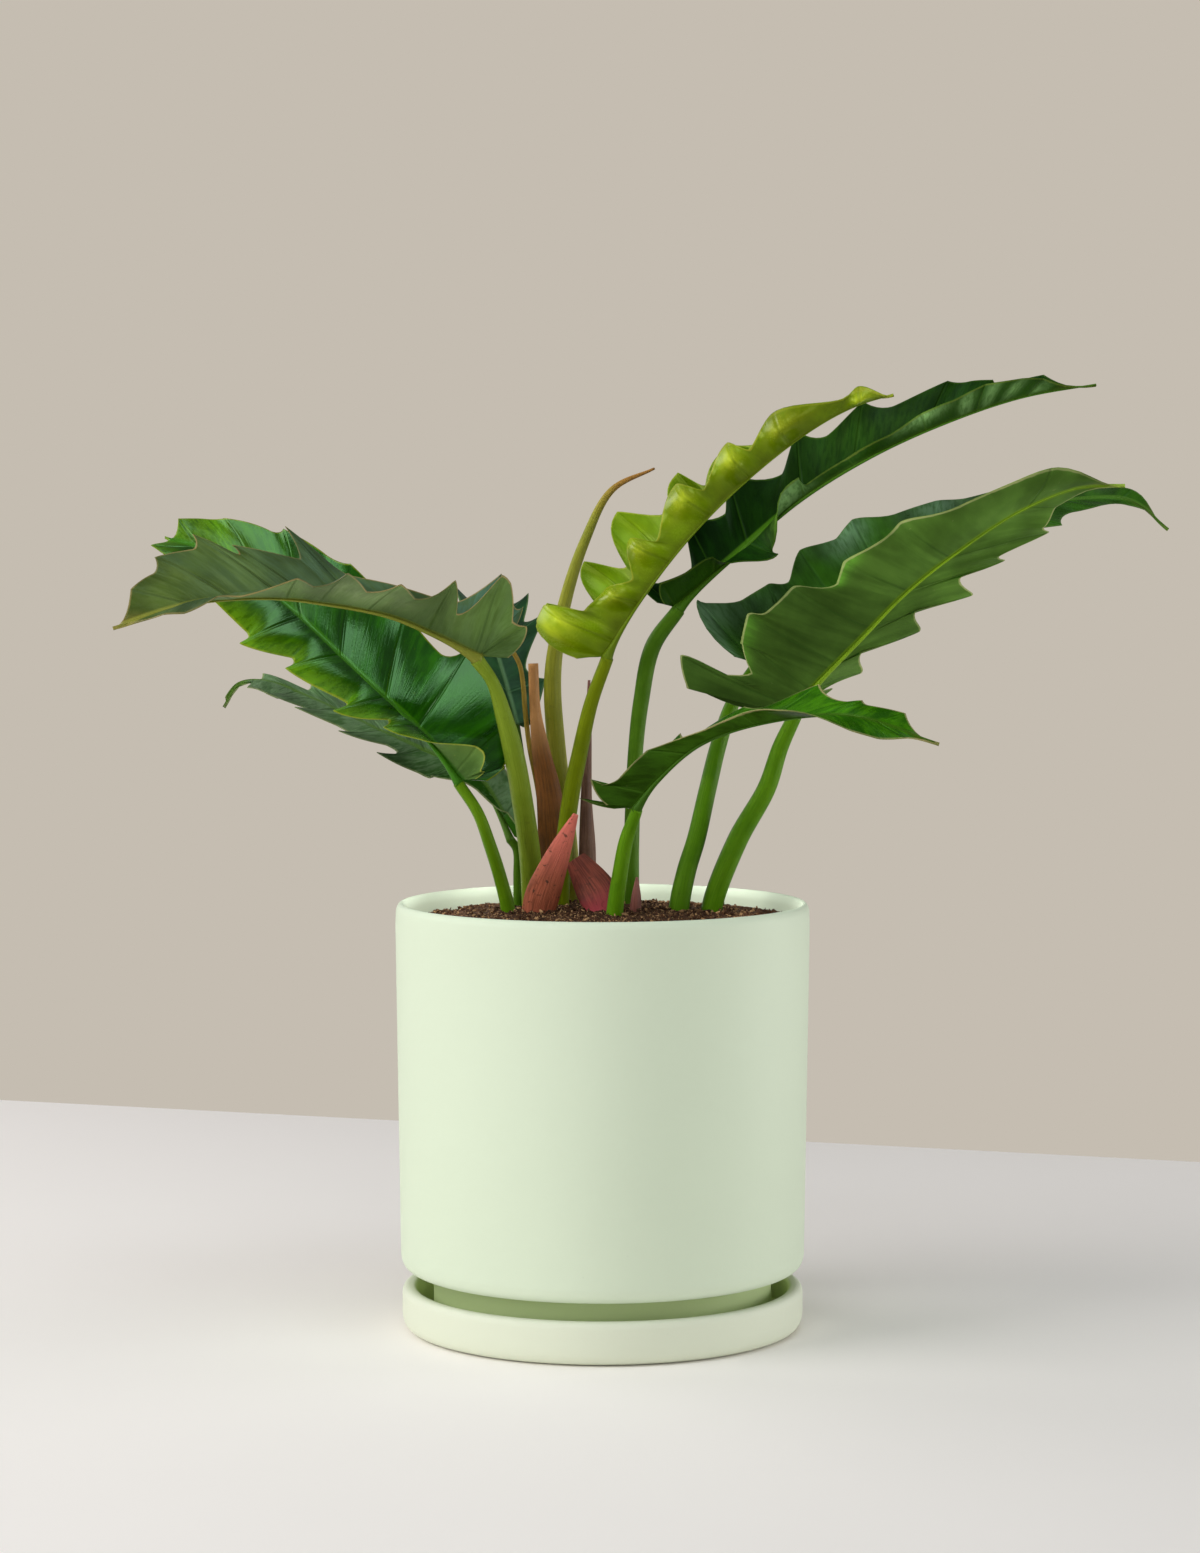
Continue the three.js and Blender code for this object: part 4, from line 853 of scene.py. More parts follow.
def bent_half(rib, leaf, side, sign, base, margin, rows, pleats):
    """Upper surface of a half on the grid of rows and shares. The flat point at distance x along and w out
    is lifted: p = rib + sign level (w cos a - h sin a) + upward (w sin a + h cos a), with a the lift at x.
    The height h adds the ripple near the margin, folds that rise between the side veins, a swelling along
    each side vein, the arch across, the curled margin and a soft unevenness."""
    along, out, _, wave, t = (value[:, None] for value in margin)
    share = np.asarray(SHARES)[None, :]
    x = base[:, None] * (1 - share) + along * share
    w = out * share
    point, _, level, upward, place = rib.frame(x)
    a = np.radians(table(side["lift_shares"], side["lift"], place))
    phase = (rows % 1)[:, None]
    fold = np.abs(np.sin(np.pi * (phase - 0.5))) ** 0.7
    width = np.maximum(np.abs(out), 1)
    body = np.sin(np.pi * np.clip(share, 0, 1) ** 0.8) * smooth_step(0, 26, width)
    taper = smooth_step(0.0, 0.1, t) * smooth_step(1.0, 0.86, t)
    dome = np.exp(-((phase - 0.48) / 0.19) ** 2) * taper
    h = EDGE_RIPPLE * share ** 1.6 * wave
    h = h + pleats * side["pleat"] * (fold - 0.5) * body * taper
    h = h + side["swell"] * dome * np.sin(np.pi * share ** 1.5)
    h = h + side["arch"] * np.sin(np.pi * share) * smooth_step(4, 30, width)
    h = h + side["curl"] * share ** 6 * dome
    flat = np.stack([x, sign * w, np.zeros_like(x)], axis=-1)
    h = h + 0.5 * soft_noise(flat + leaf["seed"] * 50, 17, 11) * body
    sin, cos = np.sin(a)[..., None], np.cos(a)[..., None]
    w, h = w[..., None], h[..., None]
    bent = point + sign * level * (w * cos - h * sin) + upward * (w * sin + h * cos)
    return bent, -sign * sin * level + cos * upward, w[..., 0]


def marked_half(rib, leaf, side, sign, base, margin, rows, pleats):
    """Half of a blade and its marks: lines as (row, share, half) for streaks along the side veins, distances
    from margin, midrib and own side vein, the share of the second colour and the shade factor from the
    painted light and the patches as bells exp(-(d / size)^2), which lay painted highlight and painted shade
    as well as the leaf's own tone, and the share of the margin."""
    bent, normal, w = bent_half(rib, leaf, side, sign, base, margin, rows, pleats)
    along, out, _, _, t = margin
    share = np.asarray(SHARES)[None, :]
    vein = np.clip(rows.astype(int), 0, len(side["teeth"]) - 1) + 0.5
    vein_rows = np.abs(rows[:, None] - vein).argmin(axis=0)
    phase = rows[:, None] % 1 - 0.5
    # Painted light: the second colour as a painted highlight on the swellings, painted shade in the notches,
    # and below nought a painted highlight between the side veins
    tint = max(side["glow"], 0) * np.exp(-(phase / 0.2) ** 2 - ((share - 0.72) / 0.26) ** 2)
    shade = np.ones_like(w) - 0.5 * side["glow"] * np.exp(-((np.abs(phase) - 0.5) / 0.17) ** 2)
    # Patches: painted sheen, painted shade where the strength is below nought, and some of the leaf's own
    # tone
    for centre, middle, long, wide, strength in side["patches"]:
        near = np.exp(-((t[:, None] - centre) / long) ** 2 - ((share - middle) / wide) ** 2)
        tint = np.maximum(tint, strength * near)
        shade = shade * (1 + min(strength, 0) * near)
    lines = np.broadcast_arrays(rows[:, None] + leaf["seed"] * 20, share, sign * 3.0)
    return dict(bent=bent, normal=normal, lines=np.stack(lines, axis=-1), tint=tint, shade=shade,
                from_edge=(1 - share) * np.hypot(along - base, out)[:, None], from_rib=np.abs(w),
                from_vein=np.linalg.norm(bent - bent[vein_rows], axis=-1),
                along=np.broadcast_to(t[:, None], w.shape))


def blade_part(rib, leaf, settings):
    """Closed blade: each row of the grid is a ring over the upper side, round the right margin, back along
    the under side and round the left margin. The sides are a thickness apart along the normals."""
    count = len(leaf["left"]["teeth"])
    rows = (np.arange(count)[:, None] + np.array(TOOTH_STEPS)[None]).ravel()
    rows = np.append(rows, count)
    margins = [margin_at(leaf, leaf[key], rows, rib.length) for key in ("left", "right")]
    base = (margins[0][2] + margins[1][2]) / 2
    base = np.where(base > 0.5, base, 0)
    left, right = (marked_half(rib, leaf, leaf[key], sign, base, margin, rows, settings.pleat)
                   for key, sign, margin in zip(("left", "right"), (1, -1), margins))
    centre_normal = unit(left["normal"][:, :1] + right["normal"][:, :1])
    for side in (left, right):
        mix = smooth_step(0, 6, side["from_rib"])[..., None]
        side["normal"] = unit(centre_normal * (1 - mix) + side["normal"] * mix)

    def across(key):
        return np.concatenate([left[key][:, :0:-1], right[key]], axis=1)

    def ring(values, under=None, right_lip=None, left_lip=None):
        under = values if under is None else under
        right_lip = values[:, -1] if right_lip is None else right_lip
        left_lip = values[:, 0] if left_lip is None else left_lip
        return np.concatenate([values, right_lip[:, None], under[:, ::-1], left_lip[:, None]], axis=1)

    upper, normal = across("bent"), across("normal")
    share = MARGIN_THICKNESS + (1 - MARGIN_THICKNESS) * smooth_step(0, 3, across("from_edge"))
    thick = settings.thickness / MM * share[..., None]
    under = upper - normal * thick
    right_lip, left_lip = ((upper[:, k] + under[:, k]) / 2 + unit(upper[:, k] - upper[:, inner]) * LIP
                           for k, inner in ((-1, -2), (0, 1)))
    wide = upper.shape[1]
    points = ring(upper, under, right_lip, left_lip)
    points[-1, wide] = points[-1, -1] = (upper[-1, 0] + under[-1, 0]) / 2
    around = 2 * wide + 2
    place = np.tile(np.arange(around), len(rows) - 1)
    j = np.arange(wide - 1)
    cap = np.stack([j + 1, j, 2 * wide - j, 2 * wide - 1 - j], axis=1)
    ends = np.array([[wide, wide - 1, wide + 1, wide + 1], [2 * wide + 1, 2 * wide, 0, 0]])
    faces = np.vstack([grid_faces(len(rows), around), cap, ends])
    tags = np.append((place > wide) & (place < 2 * wide), np.zeros(len(cap) + 2)).astype(int)
    return part_of(points, faces, tags, {key: ring(across(key)) for key in ("lines", *RIB_MARKS, "along")})


def rib_part(rib, leaf, tag):
    """Midrib: an oval tube under the blade whose radius falls from the stalk's to under 1 mm. Its top lies
    just below the blade's upper side, and at the stalk its axis lies the leaf's drop below that side."""
    s = np.linspace(RIB_START, RIB_END, RIB_ROWS)
    point, along, level, upward, _ = rib.frame(s * rib.length)
    start = np.exp(-np.maximum(s, 0) * rib.length / RIB_FADE)
    thin = RIB_TIP + RIB_GROWTH * leaf["rib_scale"] * np.clip(1 - s, 0, 1) ** 1.3
    radius = thin + (leaf["rib"] - thin) * start
    sink = radius * RIB_FLAT + RIB_SINK + (leaf["drop"] - leaf["rib"] * RIB_FLAT - RIB_SINK) * start
    deep = RIB_FLAT + (1 - RIB_FLAT) * start
    a = turn_angles(RIB_COLUMNS)
    centre = (point - upward * sink[:, None])[:, None]
    ring = np.cos(a)[None, :, None] * level[:, None]
    ring = ring + (deep[:, None] * np.sin(a)[None])[..., None] * upward[:, None]
    tube = closed_tube(centre + radius[:, None, None] * ring, centre[0], centre[-1] + along[-1] * 0.5)
    s = ends_twice(s)[:, None]
    lines = np.broadcast_arrays(np.cos(a)[None] * 2 + leaf["seed"], s * rib.length, s)
    marks = {key: np.full(tube.shape[:2], value) for key, value in RIB_MARKS.items()}
    marks.update(lines=np.stack(lines, axis=-1), along=np.broadcast_to(s, tube.shape[:2]))
    return part_of(tube, grid_faces(len(tube), RIB_COLUMNS)[:, ::-1], tag, marks)


LEAF_COLOURS = ("Blade Color", "Streak Color", "Patch Color", "Vein Color", "Margin Color", "Tip Color")
PLAIN_SKIN = dict(wrinkles=0.5, streaks=0.6, veins=0.5, gleam="#c8ffd8")

# Six colours of each face of a leaf in the order above, where a word names a setting, two colours of the
# midrib, and strength of the gloss and roughness on the upper and on the under face. The third colour is
# laid as painted highlight and painted sheen as well as the leaf's own tone
SKINS = {
    "a_left_front": dict(
        upper="#45570f #56662c #4c7362 #2f3f0c #a88c58 #6b5a14",
        under="underside #445e1c #8ca070 #344c18 #bca070 #7c6c24",
        rib="#8a8c34 #6f7a28", shine=(0.35, 0.16), rough=(0.36, 0.46)),
    "b_back": dict(
        upper="#173c1e #245028 #3f6a4c #4f7a50 #6a8a50 #55603a",
        under="#2f5228 #20401a #4a6a3a #5a7a4a #7a8a4c #55603a",
        rib="#6a9060 #4f7448", shine=(0.25, 0.1), rough=(0.34, 0.45)),
    "c_left_glossy": dict(
        upper="glossy #2c6c00 #6c9c00 #0c3404 #9aa01c #4f8410",
        under="#5c7e3c #48682c #7fa04a #6c8e44 #b8b450 #6f8a34",
        rib="#3f7c10 #265808", shine=(0.7, 0.12), rough=(0.14, 0.42), gleam="#b8ffb0", wrinkles=0.15,
        veins=0.2),
    "d_left_low": dict(
        upper="#7c9c70 #4c6c40 #245204 #48643c #a0a878 #4d5a1c",
        under="#5a7840 #3f5c2a #2a5c08 #39552f #a0a878 #4d5a1c",
        rib="#5f8430 #4a7024", shine=(0.2, 0.12), rough=(0.36, 0.48), gleam="#b8ffa8", wrinkles=0.9,
        streaks=0.95),
    "e_young_cupped": dict(
        upper="young #487400 #8cac0c #4c6e04 #a0ac30 #6f8420",
        under="#749204 #5a7a02 #ccd830 #587008 #a0a430 #6f8420",
        rib="#6c8408 #56680c", shine=(0.6, 0.45), rough=(0.26, 0.19), gleam="#f0ff80", wrinkles=0.3),
    "f_right_upper": dict(
        upper="dark #143c04 #7cae40 #2c5010 #4a6a1c #4a5c14",
        under="#284c08 #1a3a04 #84b068 #3c5c18 #6f8030 #5a4c24",
        rib="#4c7c18 #3c5c14", shine=(0.06, 0.12), rough=(0.32, 0.36)),
    "g_right_large": dict(
        upper="#2a5c0c #367010 #6cb028 #2a5008 #a0a860 #7a6434",
        under="#52762c #5e8236 #74b83c #34541c #b4b87c #6f6434",
        rib="#8cb41c #6a8c18", shine=(0.35, 0.08), rough=(0.3, 0.44), gleam="#a8ff90", streaks=0.35),
    "h_right_behind": dict(
        upper="#2c580e #386a14 #84b088 #2f5a24 #5c7a3c #6a3c18",
        under="#335a14 #284a0e #4c7c20 #4f7a28 #7c8c40 #6a4018",
        rib="#4f7c24 #3a6018", shine=(0.2, 0.12), rough=(0.3, 0.42), gleam="#b8ff98"),
    "i_small_front": dict(
        upper="#245c02 #4c8a08 #a08418 #3c7c0c #b8a878 #84501c",
        under="#2a480a #345a10 #45702c #3c6018 #b8a878 #7a5024",
        rib="#3c6410 #2c4c0a", shine=(0.3, 0.16), rough=(0.26, 0.4), gleam="#b8ff78"),
}


class PLANT_OT_leaves(bpy.types.Operator):
    """Make the nine leaf blades with their midribs"""

    bl_idname = "plant.leaves"
    bl_label = "Leaves"

    def execute(self, context):
        settings = context.scene.plant_leaf
        for number, (key, leaf) in enumerate(LEAVES.items()):
            leaf["seed"] = number + 1
            rib = Midrib(leaf["spine"])
            parts = joined([blade_part(rib, leaf, settings), rib_part(rib, leaf, 2)])
            piece = make_piece("leaf_" + key, *parts, self.finishes(key, settings))
            dress(piece, leaf["slot"], "blade_" + key)
        return {"FINISHED"}

    def finishes(self, key, settings):
        """Materials of the upper face, the under face and the midrib."""
        skin = {**PLAIN_SKIN, **SKINS[key]}
        rib_colours = [rgba(code) for code in skin["rib"].split()]
        materials = []
        for k, face in enumerate(("upper", "under")):
            colours = [picked(settings, name) for name in skin[face].split()]
            values = {**dict(zip(LEAF_COLOURS, colours)), "Rib Color": rib_colours[k],
                      "Roughness": skin["rough"][k] / max(settings.gloss, 0.2), "Wrinkles": skin["wrinkles"],
                      "Streaks": skin["streaks"], "Vein Strength": skin["veins"]}
            materials.append(finish_material(
                f"{key}_{face}", leaf_skin, values, bump=0.00035,
                Specular_IOR_Level=skin["shine"][k] * settings.gloss, Specular_Tint=rgba(skin["gleam"])))
        materials.append(finish_material(key + "_midrib", stalk_skin, {
            "Skin Color": rib_colours[0], "Line Color": rib_colours[1], "Roughness": 0.4}, bump=0.0002,
            Specular_IOR_Level=0.2, Specular_Tint=rgba("#d8ffc8")))
        return materials


# Stalks, sheaths, the rolled leaf and the dry stalk. The stalks carry the leaves in the same order.

STEM_DEPTH = 15
STALK_ROWS, STALK_COLUMNS = 90, 28
STALKS = {
    "a": dict(
        radii=(5.8, 5.6, 5.4, 5.2, 4.4, 3.2), skin="#82982c #66801c",
        points=[(-36, 38, 212), (-37, 25, 235), (-39.6, 6, 260), (-44.6, -10, 292), (-49, -16, 310),
                (-55, -21, 329)]),
    "b": dict(
        radii=(3.6, 3.4, 3.2, 2.8), skin="#3f5f1c #2f4f14",
        points=[(-35, 62, 211), (-37, 61, 233), (-40, 59, 257), (-43, 56, 285)]),
    "c": dict(
        radii=(3.7, 3.4, 3.2, 2.9), skin="#6c9414 #4c780c",
        points=[(-48, 6, 211), (-52, 2, 229), (-57, -4, 246), (-63, -10, 263)]),
    "d": dict(
        radii=(2.4, 2.3, 2.2), skin="#486e14 #36590c",
        points=[(-44, 43, 211), (-44, 43, 226), (-44.5, 42.5, 240)]),
    "e": dict(
        radii=(4.7, 4.6, 4.4, 4.2, 3.6), skin="#7c8c0c #5a6a06",
        points=[(-22, 40, 211), (-20, 37, 240), (-16, 33, 270), (-12.5, 30, 287), (-6, 25, 316)]),
    "f": dict(
        radii=(4.2, 4, 3.9, 4.1, 4.2), skin="#54801c #3a640c",
        points=[(15, 43, 211), (15, 43, 240), (17, 43, 290), (20, 43, 317), (26, 43, 345)]),
    "g": dict(
        radii=(5.4, 5.3, 4.8, 4.2), skin="#5c8c10 #3c6c06",
        points=[(56, 22, 211), (69, 22, 246), (84, 22, 273), (91, 22, 294)]),
    "h": dict(
        radii=(5.3, 5, 4.8, 4.5, 4.2, 3.6), skin="#548410 #386606",
        points=[(39, 16, 211), (43, 18, 231), (48, 21, 247), (54, 28, 272), (60, 37, 295), (68, 44, 317)]),
    "i": dict(
        radii=(4.3, 3.9, 3.6), skin="#609010 #447406",
        points=[(6, -15, 211), (9, -17, 234), (12, -19, 250)]),
}

# Skin, line and blush colour, where a word names a setting; start, end and strength of the blush along the
# stem; then its points, half-widths and half-depths
SHOOTS = {
    "new_leaf_spike": dict(
        slot="spike", skin="spike #7c8418 #ac7434", blush=(0.78, 0.93, 0.9),
        points=[(-16, 66, 211), (-19, 65, 248), (-24, 64, 290), (-26, 62, 330), (-20, 60, 366), (-9, 58, 400),
                (5, 56, 426), (27, 54, 437)],
        widths=(5, 5, 4.8, 4.4, 3.4, 2.6, 1.7, 0.6), depths=(4.6, 4.6, 4.2, 4, 3.2, 2.6, 1.7, 0.6)),
    "sheath_brown_tall": dict(
        slot="sheath_brown", skin="russet #5a380e #d89c60", blush=(0.6, 0.85, 0.95),
        points=[(-26, 52, 211), (-26, 52, 240), (-28, 52, 268), (-32, 52, 290), (-35, 51, 312),
                (-36, 50, 336)],
        widths=(7.2, 7.6, 6.6, 4.8, 2.9, 2.6), depths=(2.6, 2.6, 2.4, 2.2, 1.8, 1.4)),
    "sheath_pink": dict(
        slot="sheath_pink", skin="pink #6a3820 #ec7c6c", blush=(0.5, 0.95, 0.9), lines=0.7, flecks=1.0,
        points=[(-33, 0, 210), (-31, -1, 219), (-27, -3, 230), (-20.5, -6, 246), (-13.5, -9, 262)],
        widths=(8.4, 8.8, 7.8, 5.2, 1.4), depths=(3, 3.2, 2.8, 2, 0.8)),
    "sheath_purple": dict(
        slot="sheath_purple", skin="#94705a #5c3c30 #a87068", blush=(0.7, 1.0, 0.7),
        points=[(-8, 60, 210), (-8, 60, 238), (-8.5, 61, 264), (-7.5, 61, 300), (-7, 61, 327)],
        widths=(4.4, 4.4, 3, 1.8, 0.7), depths=(2.6, 2.6, 2.2, 1.6, 0.7)),
    "sheath_red_wide": dict(
        slot="sheath_red", skin="red #48241c #cc5460", blush=(0.7, 0.2, 0.9), flecks=0.6,
        points=[(0, 2, 212), (-2, 2.5, 219), (-6, 4, 226), (-14, 7, 238)],
        widths=(8, 10, 9.4, 5.5), depths=(3, 3.6, 3, 1.6)),
    "sheath_small": dict(
        slot="sheath_brown", skin="#94584c #5a2c20 #bc7c70", blush=(0.5, 1.0, 0.8),
        points=[(16.5, 2, 209), (17, 3, 218), (17.5, 4, 229)],
        widths=(3, 2.6, 0.6), depths=(2, 1.8, 0.6)),
    "dry_stalk": dict(
        slot="dry_stalk", skin="#c2a83c #a58a2e #8a6a2c", blush=(0.0, 0.3, 0.4),
        points=[(-30, 57.5, 211), (-31, 57.5, 240), (-33.5, 57.5, 268), (-38, 56.5, 292), (-40.2, 50.5, 312),
                (-41.3, 45, 327), (-43, 42, 336), (-46.5, 40, 342.5), (-52, 38, 348)],
        widths=(*[1.3] * 5, *[1.2] * 3, 1), depths=(*[1.3] * 5, *[1.2] * 3, 1)),
}


def stalk_part(points, widths, depths, seed, ridges=0.0):
    """Stalk carried along a spline: its section is an oval, p = centre + across w cos a + back d sin a, with
    fine lengthwise ridges as 1 + r cos 9a + r/2 cos(23a + 1), closed at both ends."""
    keys = np.linspace(0, 1, len(points))
    s = np.linspace(0, 1, STALK_ROWS)
    centre = curve_at(points, s)
    along = unit(np.gradient(centre, axis=0))
    across = unit(np.cross(BACKWARD, along))
    back = np.cross(along, across)
    w, d = table(keys, widths, s)[:, None], table(keys, depths, s)[:, None]
    a = turn_angles(STALK_COLUMNS)
    ridge = 1 + ridges * np.cos(9 * a)[None, :] + 0.5 * ridges * np.cos(23 * a + 1)[None, :]
    tube = centre[:, None] + across[:, None] * (w * np.cos(a) * ridge)[..., None]
    tube = tube + back[:, None] * (d * (np.sin(a) * ridge))[..., None]
    tube = closed_tube(tube, centre[0], centre[-1])
    s, run = (ends_twice(values)[:, None] for values in (s, run_along(centre)))
    lines = np.broadcast_arrays(np.cos(a)[None] * 2 + np.sin(a)[None] * 1.3 + seed * 7, run, s)
    return part_of(tube, grid_faces(len(tube), STALK_COLUMNS), 0, {"lines": np.stack(lines, axis=-1)})


class PLANT_OT_stalks(bpy.types.Operator):
    """Make the nine leaf stalks"""

    bl_idname = "plant.stalks"
    bl_label = "Leaf Stalks"

    def execute(self, context):
        settings = context.scene.plant_stalk
        for number, ((key, stalk), leaf) in enumerate(zip(STALKS.items(), LEAVES.values())):
            point, along, _, upward, _ = Midrib(leaf["spine"]).frame(0.0)
            foot = np.array(stalk["points"][0]) - (0, 0, STEM_DEPTH)
            end = point - upward * leaf["drop"] + along * 0.6
            points = np.vstack([foot, stalk["points"], end])
            radii = np.array([stalk["radii"][0], *stalk["radii"], leaf["rib"]]) * settings.thickness
            part = stalk_part(points, radii, radii, number)
            skin, line = (rgba(np.array(linear(code)) * settings.tone) for code in stalk["skin"].split())
            material = finish_material("stalk_" + key, stalk_skin, {
                "Skin Color": skin, "Line Color": line, "Roughness": 0.36}, bump=0.00025,
                Specular_IOR_Level=0.2, Specular_Tint=rgba("#d8ff80"))
            dress(make_piece("stalk_" + key, *part, [material]), "petiole", "petiole_" + key)
        return {"FINISHED"}


class PLANT_OT_shoots(bpy.types.Operator):
    """Make the rolled new leaf, the sheaths and the dry stalk"""

    bl_idname = "plant.shoots"
    bl_label = "Spike and Sheaths"

    def execute(self, context):
        settings = context.scene.plant_shoot
        for number, (key, shoot) in enumerate(SHOOTS.items()):
            foot = np.array(shoot["points"][0]) - (0, 0, STEM_DEPTH)
            points = np.vstack([foot, shoot["points"]])
            widths, depths = ((shoot[k][0], *shoot[k]) for k in ("widths", "depths"))
            part = stalk_part(points, widths, depths, number + 20, ridges=0.02)
            skin, line, blush = (picked(settings, name) for name in shoot["skin"].split())
            start, end, strength = shoot["blush"]
            material = finish_material(key + "_skin", stalk_skin, {
                "Skin Color": skin, "Line Color": line, "Blush Color": blush, "Blush Start": start,
                "Blush End": end, "Blush": strength, "Lines": shoot.get("lines", 0.8),
                "Flecks": shoot.get("flecks", 0.2), "Roughness": 0.5}, bump=0.0005,
                Specular_IOR_Level=0.25)
            dress(make_piece("shoot_" + key, *part, [material]), shoot["slot"], key)
        return {"FINISHED"}


# Floor, light and camera, in metres

FLOOR_ALONG = np.array([0.9496, -0.3134])
FLOOR_OUT = np.array([0.3134, 0.9496])
FLOOR_SIDE, FLOOR_FRONT, FLOOR_BACK = 1.5, -1.7, 0.598
FLOOR_LOW, FLOOR_HIGH = -0.03, -0.0001

# Place, aim, side, power in watts and tone of each soft light
LIGHTS = {
    "window": ((-1.8, -0.7, 1.2), (0, 0, 0.25), 1.5, 26, (1.0, 0.98, 0.96)),
    "sky_panel": ((0.1, -0.5, 1.75), (-0.1, 0, 0.35), 0.8, 6, (0.86, 0.98, 1.0)),
    "front_fill": ((-0.4, -3.0, 0.9), (0, 0, 0.25), 2.0, 20, (1.0, 0.99, 0.98)),
    "right_fill": ((1.8, 0.3, 0.2), (0, 0, 0.22), 0.8, 16, (1.0, 0.99, 0.98)),
    "floor_wash": ((-1.4, 0.9, 1.0), (-0.7, 0.1, 0), 1.0, 7, (1.0, 0.98, 0.97)),
}

# Small lights inside the rim, each shining out at the wall: turns in degrees, then radius and height of
# place and aim
RIM_FILL_TURNS = (-12, 50, 90, 130, 170)
RIM_FILL_PLACE, RIM_FILL_AIM = (0.076, 0.24), (0.1, 0.209)
RIM_FILL_SIDE, RIM_FILL_POWER, RIM_FILL_TONE = 0.02, 0.012, (1.0, 1.0, 0.98)
ROOM_TONE, ROOM_STRENGTH = (1.0, 0.98, 0.95), 0.22
IMAGE_HEIGHT_PIXELS, FOCAL_LENGTH_PIXELS, SENSOR_MM = 1553, 3760, 36
CAMERA_PLACE, CAMERA_TILT = (-0.0013, -1.9, 0.4), 86.4


def soft_light(name, place, aim, size, power, tone):
    """Square area light at a place, turned to its aim and out of the camera's sight."""
    lamp = bpy.data.lights.new(name, "AREA")
    lamp.shape, lamp.size, lamp.energy, lamp.color = "SQUARE", size, power, tone
    stand = bpy.data.objects.new(name, lamp)
    stand.location = place
    stand.rotation_euler = (Vector(aim) - Vector(place)).to_track_quat("-Z", "Y").to_euler()
    stand.visible_camera = False
    bpy.context.scene.collection.objects.link(stand)


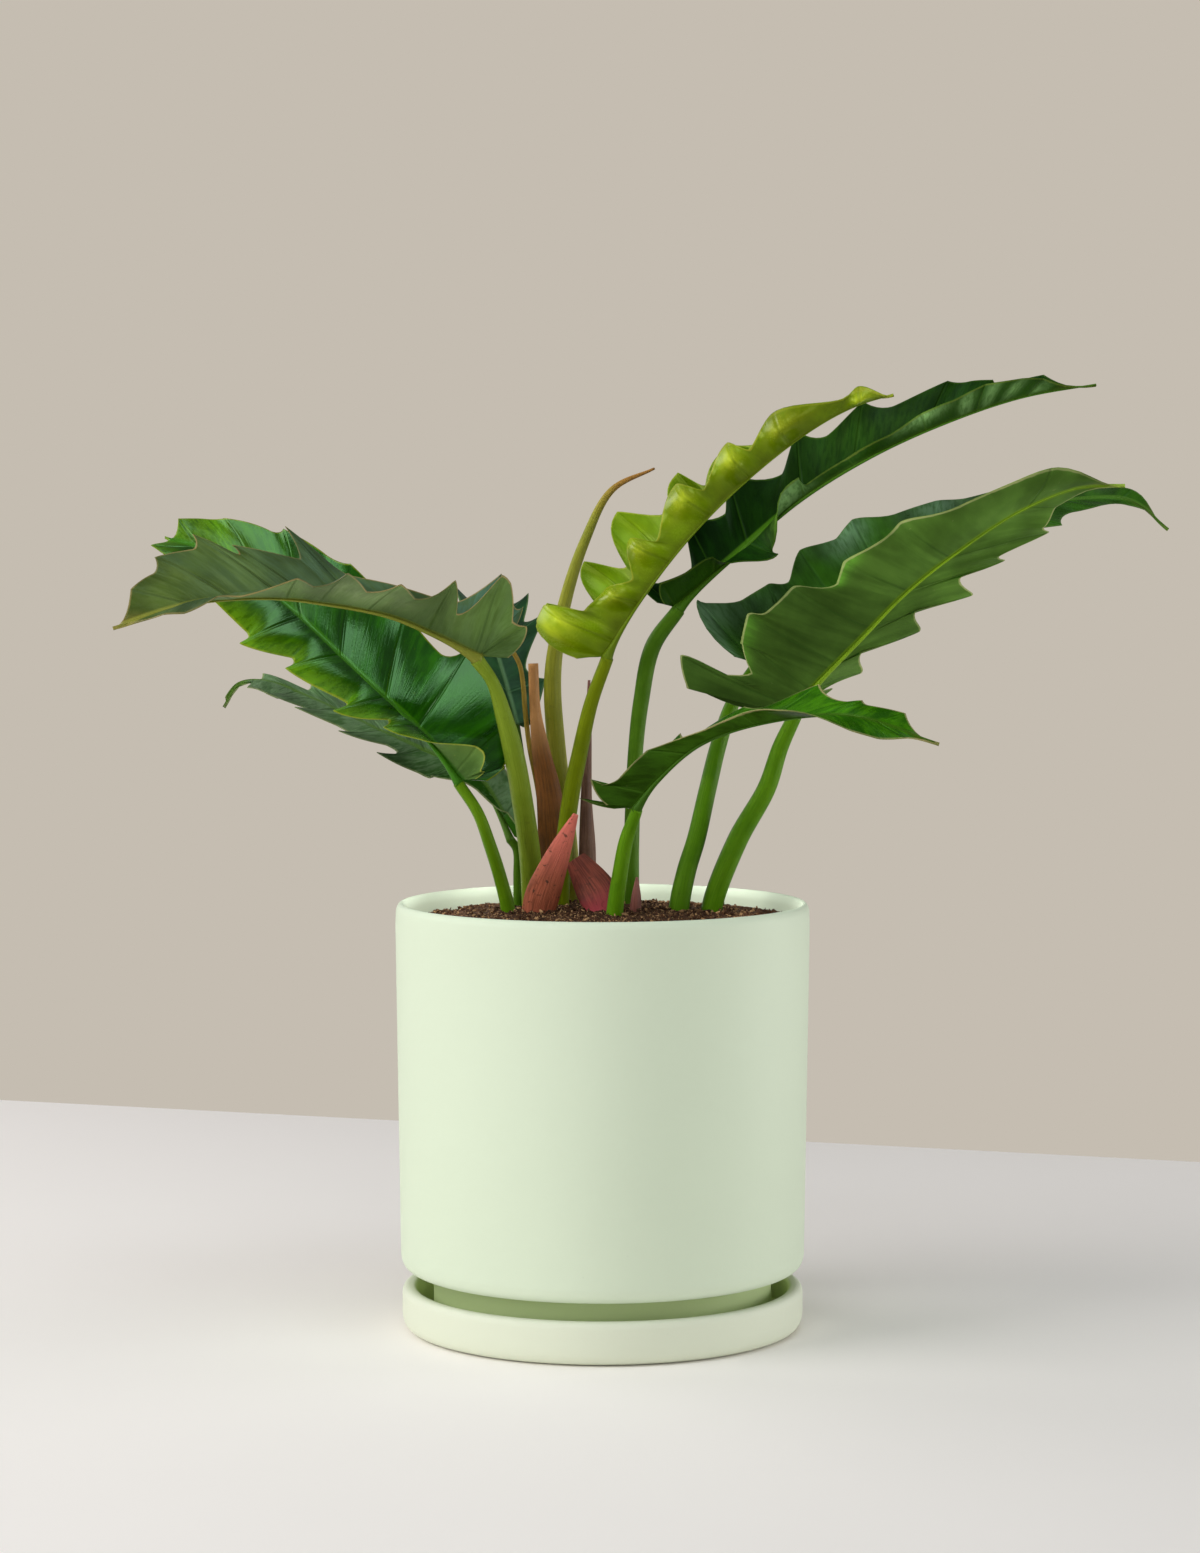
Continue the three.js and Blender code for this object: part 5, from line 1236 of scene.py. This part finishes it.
class PLANT_OT_stage(bpy.types.Operator):
    """Make the plain floor, the soft light and the camera"""

    bl_idname = "plant.stage"
    bl_label = "Floor, Light and Camera"

    def execute(self, context):
        scene, stage = context.scene, context.scene.plant_stage
        corners = np.array([a * FLOOR_ALONG + b * FLOOR_OUT for a, b in (
            (-FLOOR_SIDE, FLOOR_FRONT), (FLOOR_SIDE, FLOOR_FRONT), (FLOOR_SIDE, FLOOR_BACK),
            (-FLOOR_SIDE, FLOOR_BACK))])
        vertices = np.vstack([np.column_stack([corners, np.full(4, z)]) for z in (FLOOR_LOW, FLOOR_HIGH)])
        faces = np.array([(0, 3, 2, 1), (4, 5, 6, 7), (0, 1, 5, 4), (1, 2, 6, 5), (2, 3, 7, 6), (3, 0, 4, 7)])
        material = finish_material("plain_floor", matte_glaze, {
            "Glaze Color": rgba(stage.floor), "Cloud Color": rgba(np.array(stage.floor) * 0.98),
            "Pin Color": rgba(stage.floor), "Recess Color": rgba(stage.floor), "Roughness": 0.7},
            bump=0.0, Specular_IOR_Level=0.2)
        floor = make_piece("plain_floor", vertices, faces, materials=[material])
        floor.data.polygons.foreach_set("use_smooth", np.zeros(6, bool))

        world = bpy.data.worlds.new("soft_room")
        world.use_nodes = True
        world.node_tree.nodes.clear()
        bench = Bench(world.node_tree)
        seen = bench.node("Background", {"Color": rgba(stage.backdrop), "Strength": 1.0})
        felt = bench.node("Background", {"Color": rgba(ROOM_TONE), "Strength": ROOM_STRENGTH})
        ray = bench.node("LightPath").outputs["Is Camera Ray"]
        mixed = bench.node("MixShader", {0: ray, 1: felt.outputs[0], 2: seen.outputs[0]})
        bench.node("OutputWorld", {"Surface": mixed.outputs[0]})
        scene.world = world

        for name, light in LIGHTS.items():
            soft_light(name, *light)
        for number, turn in enumerate(np.radians(RIM_FILL_TURNS)):
            away = np.array([np.cos(turn), np.sin(turn), 0])
            place, aim = (away * radius + UP * height for radius, height in (RIM_FILL_PLACE, RIM_FILL_AIM))
            soft_light(f"rim_fill_{number}", place, aim, RIM_FILL_SIDE, RIM_FILL_POWER, RIM_FILL_TONE)

        lens = bpy.data.cameras.new("photo_camera")
        lens.sensor_width = SENSOR_MM
        lens.lens = FOCAL_LENGTH_PIXELS * SENSOR_MM / IMAGE_HEIGHT_PIXELS
        camera = bpy.data.objects.new("photo_camera", lens)
        camera.location = CAMERA_PLACE
        camera.rotation_euler = (np.radians(CAMERA_TILT), 0, 0)
        scene.collection.objects.link(camera)
        scene.camera = camera
        scene.view_settings.view_transform = "Standard"
        return {"FINISHED"}


class PLANT_PT_panel(bpy.types.Panel):
    """Buttons and settings of the plant"""

    bl_idname = "PLANT_PT_panel"
    bl_label = "Potted Plant"
    bl_space_type = "VIEW_3D"
    bl_region_type = "UI"
    bl_category = "Plant"

    def draw(self, context):
        for operator, settings in zip(OPERATORS, SETTINGS):
            box = self.layout.box()
            box.operator(operator.bl_idname)
            group = getattr(context.scene, settings)
            for key in group.__annotations__:
                box.prop(group, key)


SETTINGS = {"plant_pot": PotSettings, "plant_soil": SoilSettings, "plant_leaf": LeafSettings,
            "plant_stalk": StalkSettings, "plant_shoot": ShootSettings, "plant_stage": StageSettings}
OPERATORS = (PLANT_OT_pot, PLANT_OT_soil, PLANT_OT_leaves, PLANT_OT_stalks, PLANT_OT_shoots, PLANT_OT_stage)


def register():
    for kind in (*SETTINGS.values(), *OPERATORS, PLANT_PT_panel):
        bpy.utils.register_class(kind)
    for key, kind in SETTINGS.items():
        setattr(bpy.types.Scene, key, PointerProperty(type=kind))


def unregister():
    for key in SETTINGS:
        delattr(bpy.types.Scene, key)
    for kind in reversed((*SETTINGS.values(), *OPERATORS, PLANT_PT_panel)):
        bpy.utils.unregister_class(kind)


def main():
    register()
    bpy.ops.plant.pot()
    bpy.ops.plant.soil()
    bpy.ops.plant.leaves()
    bpy.ops.plant.stalks()
    bpy.ops.plant.shoots()
    bpy.ops.plant.stage()
    bpy.context.view_layer.update()


if __name__ == "__main__":
    main()
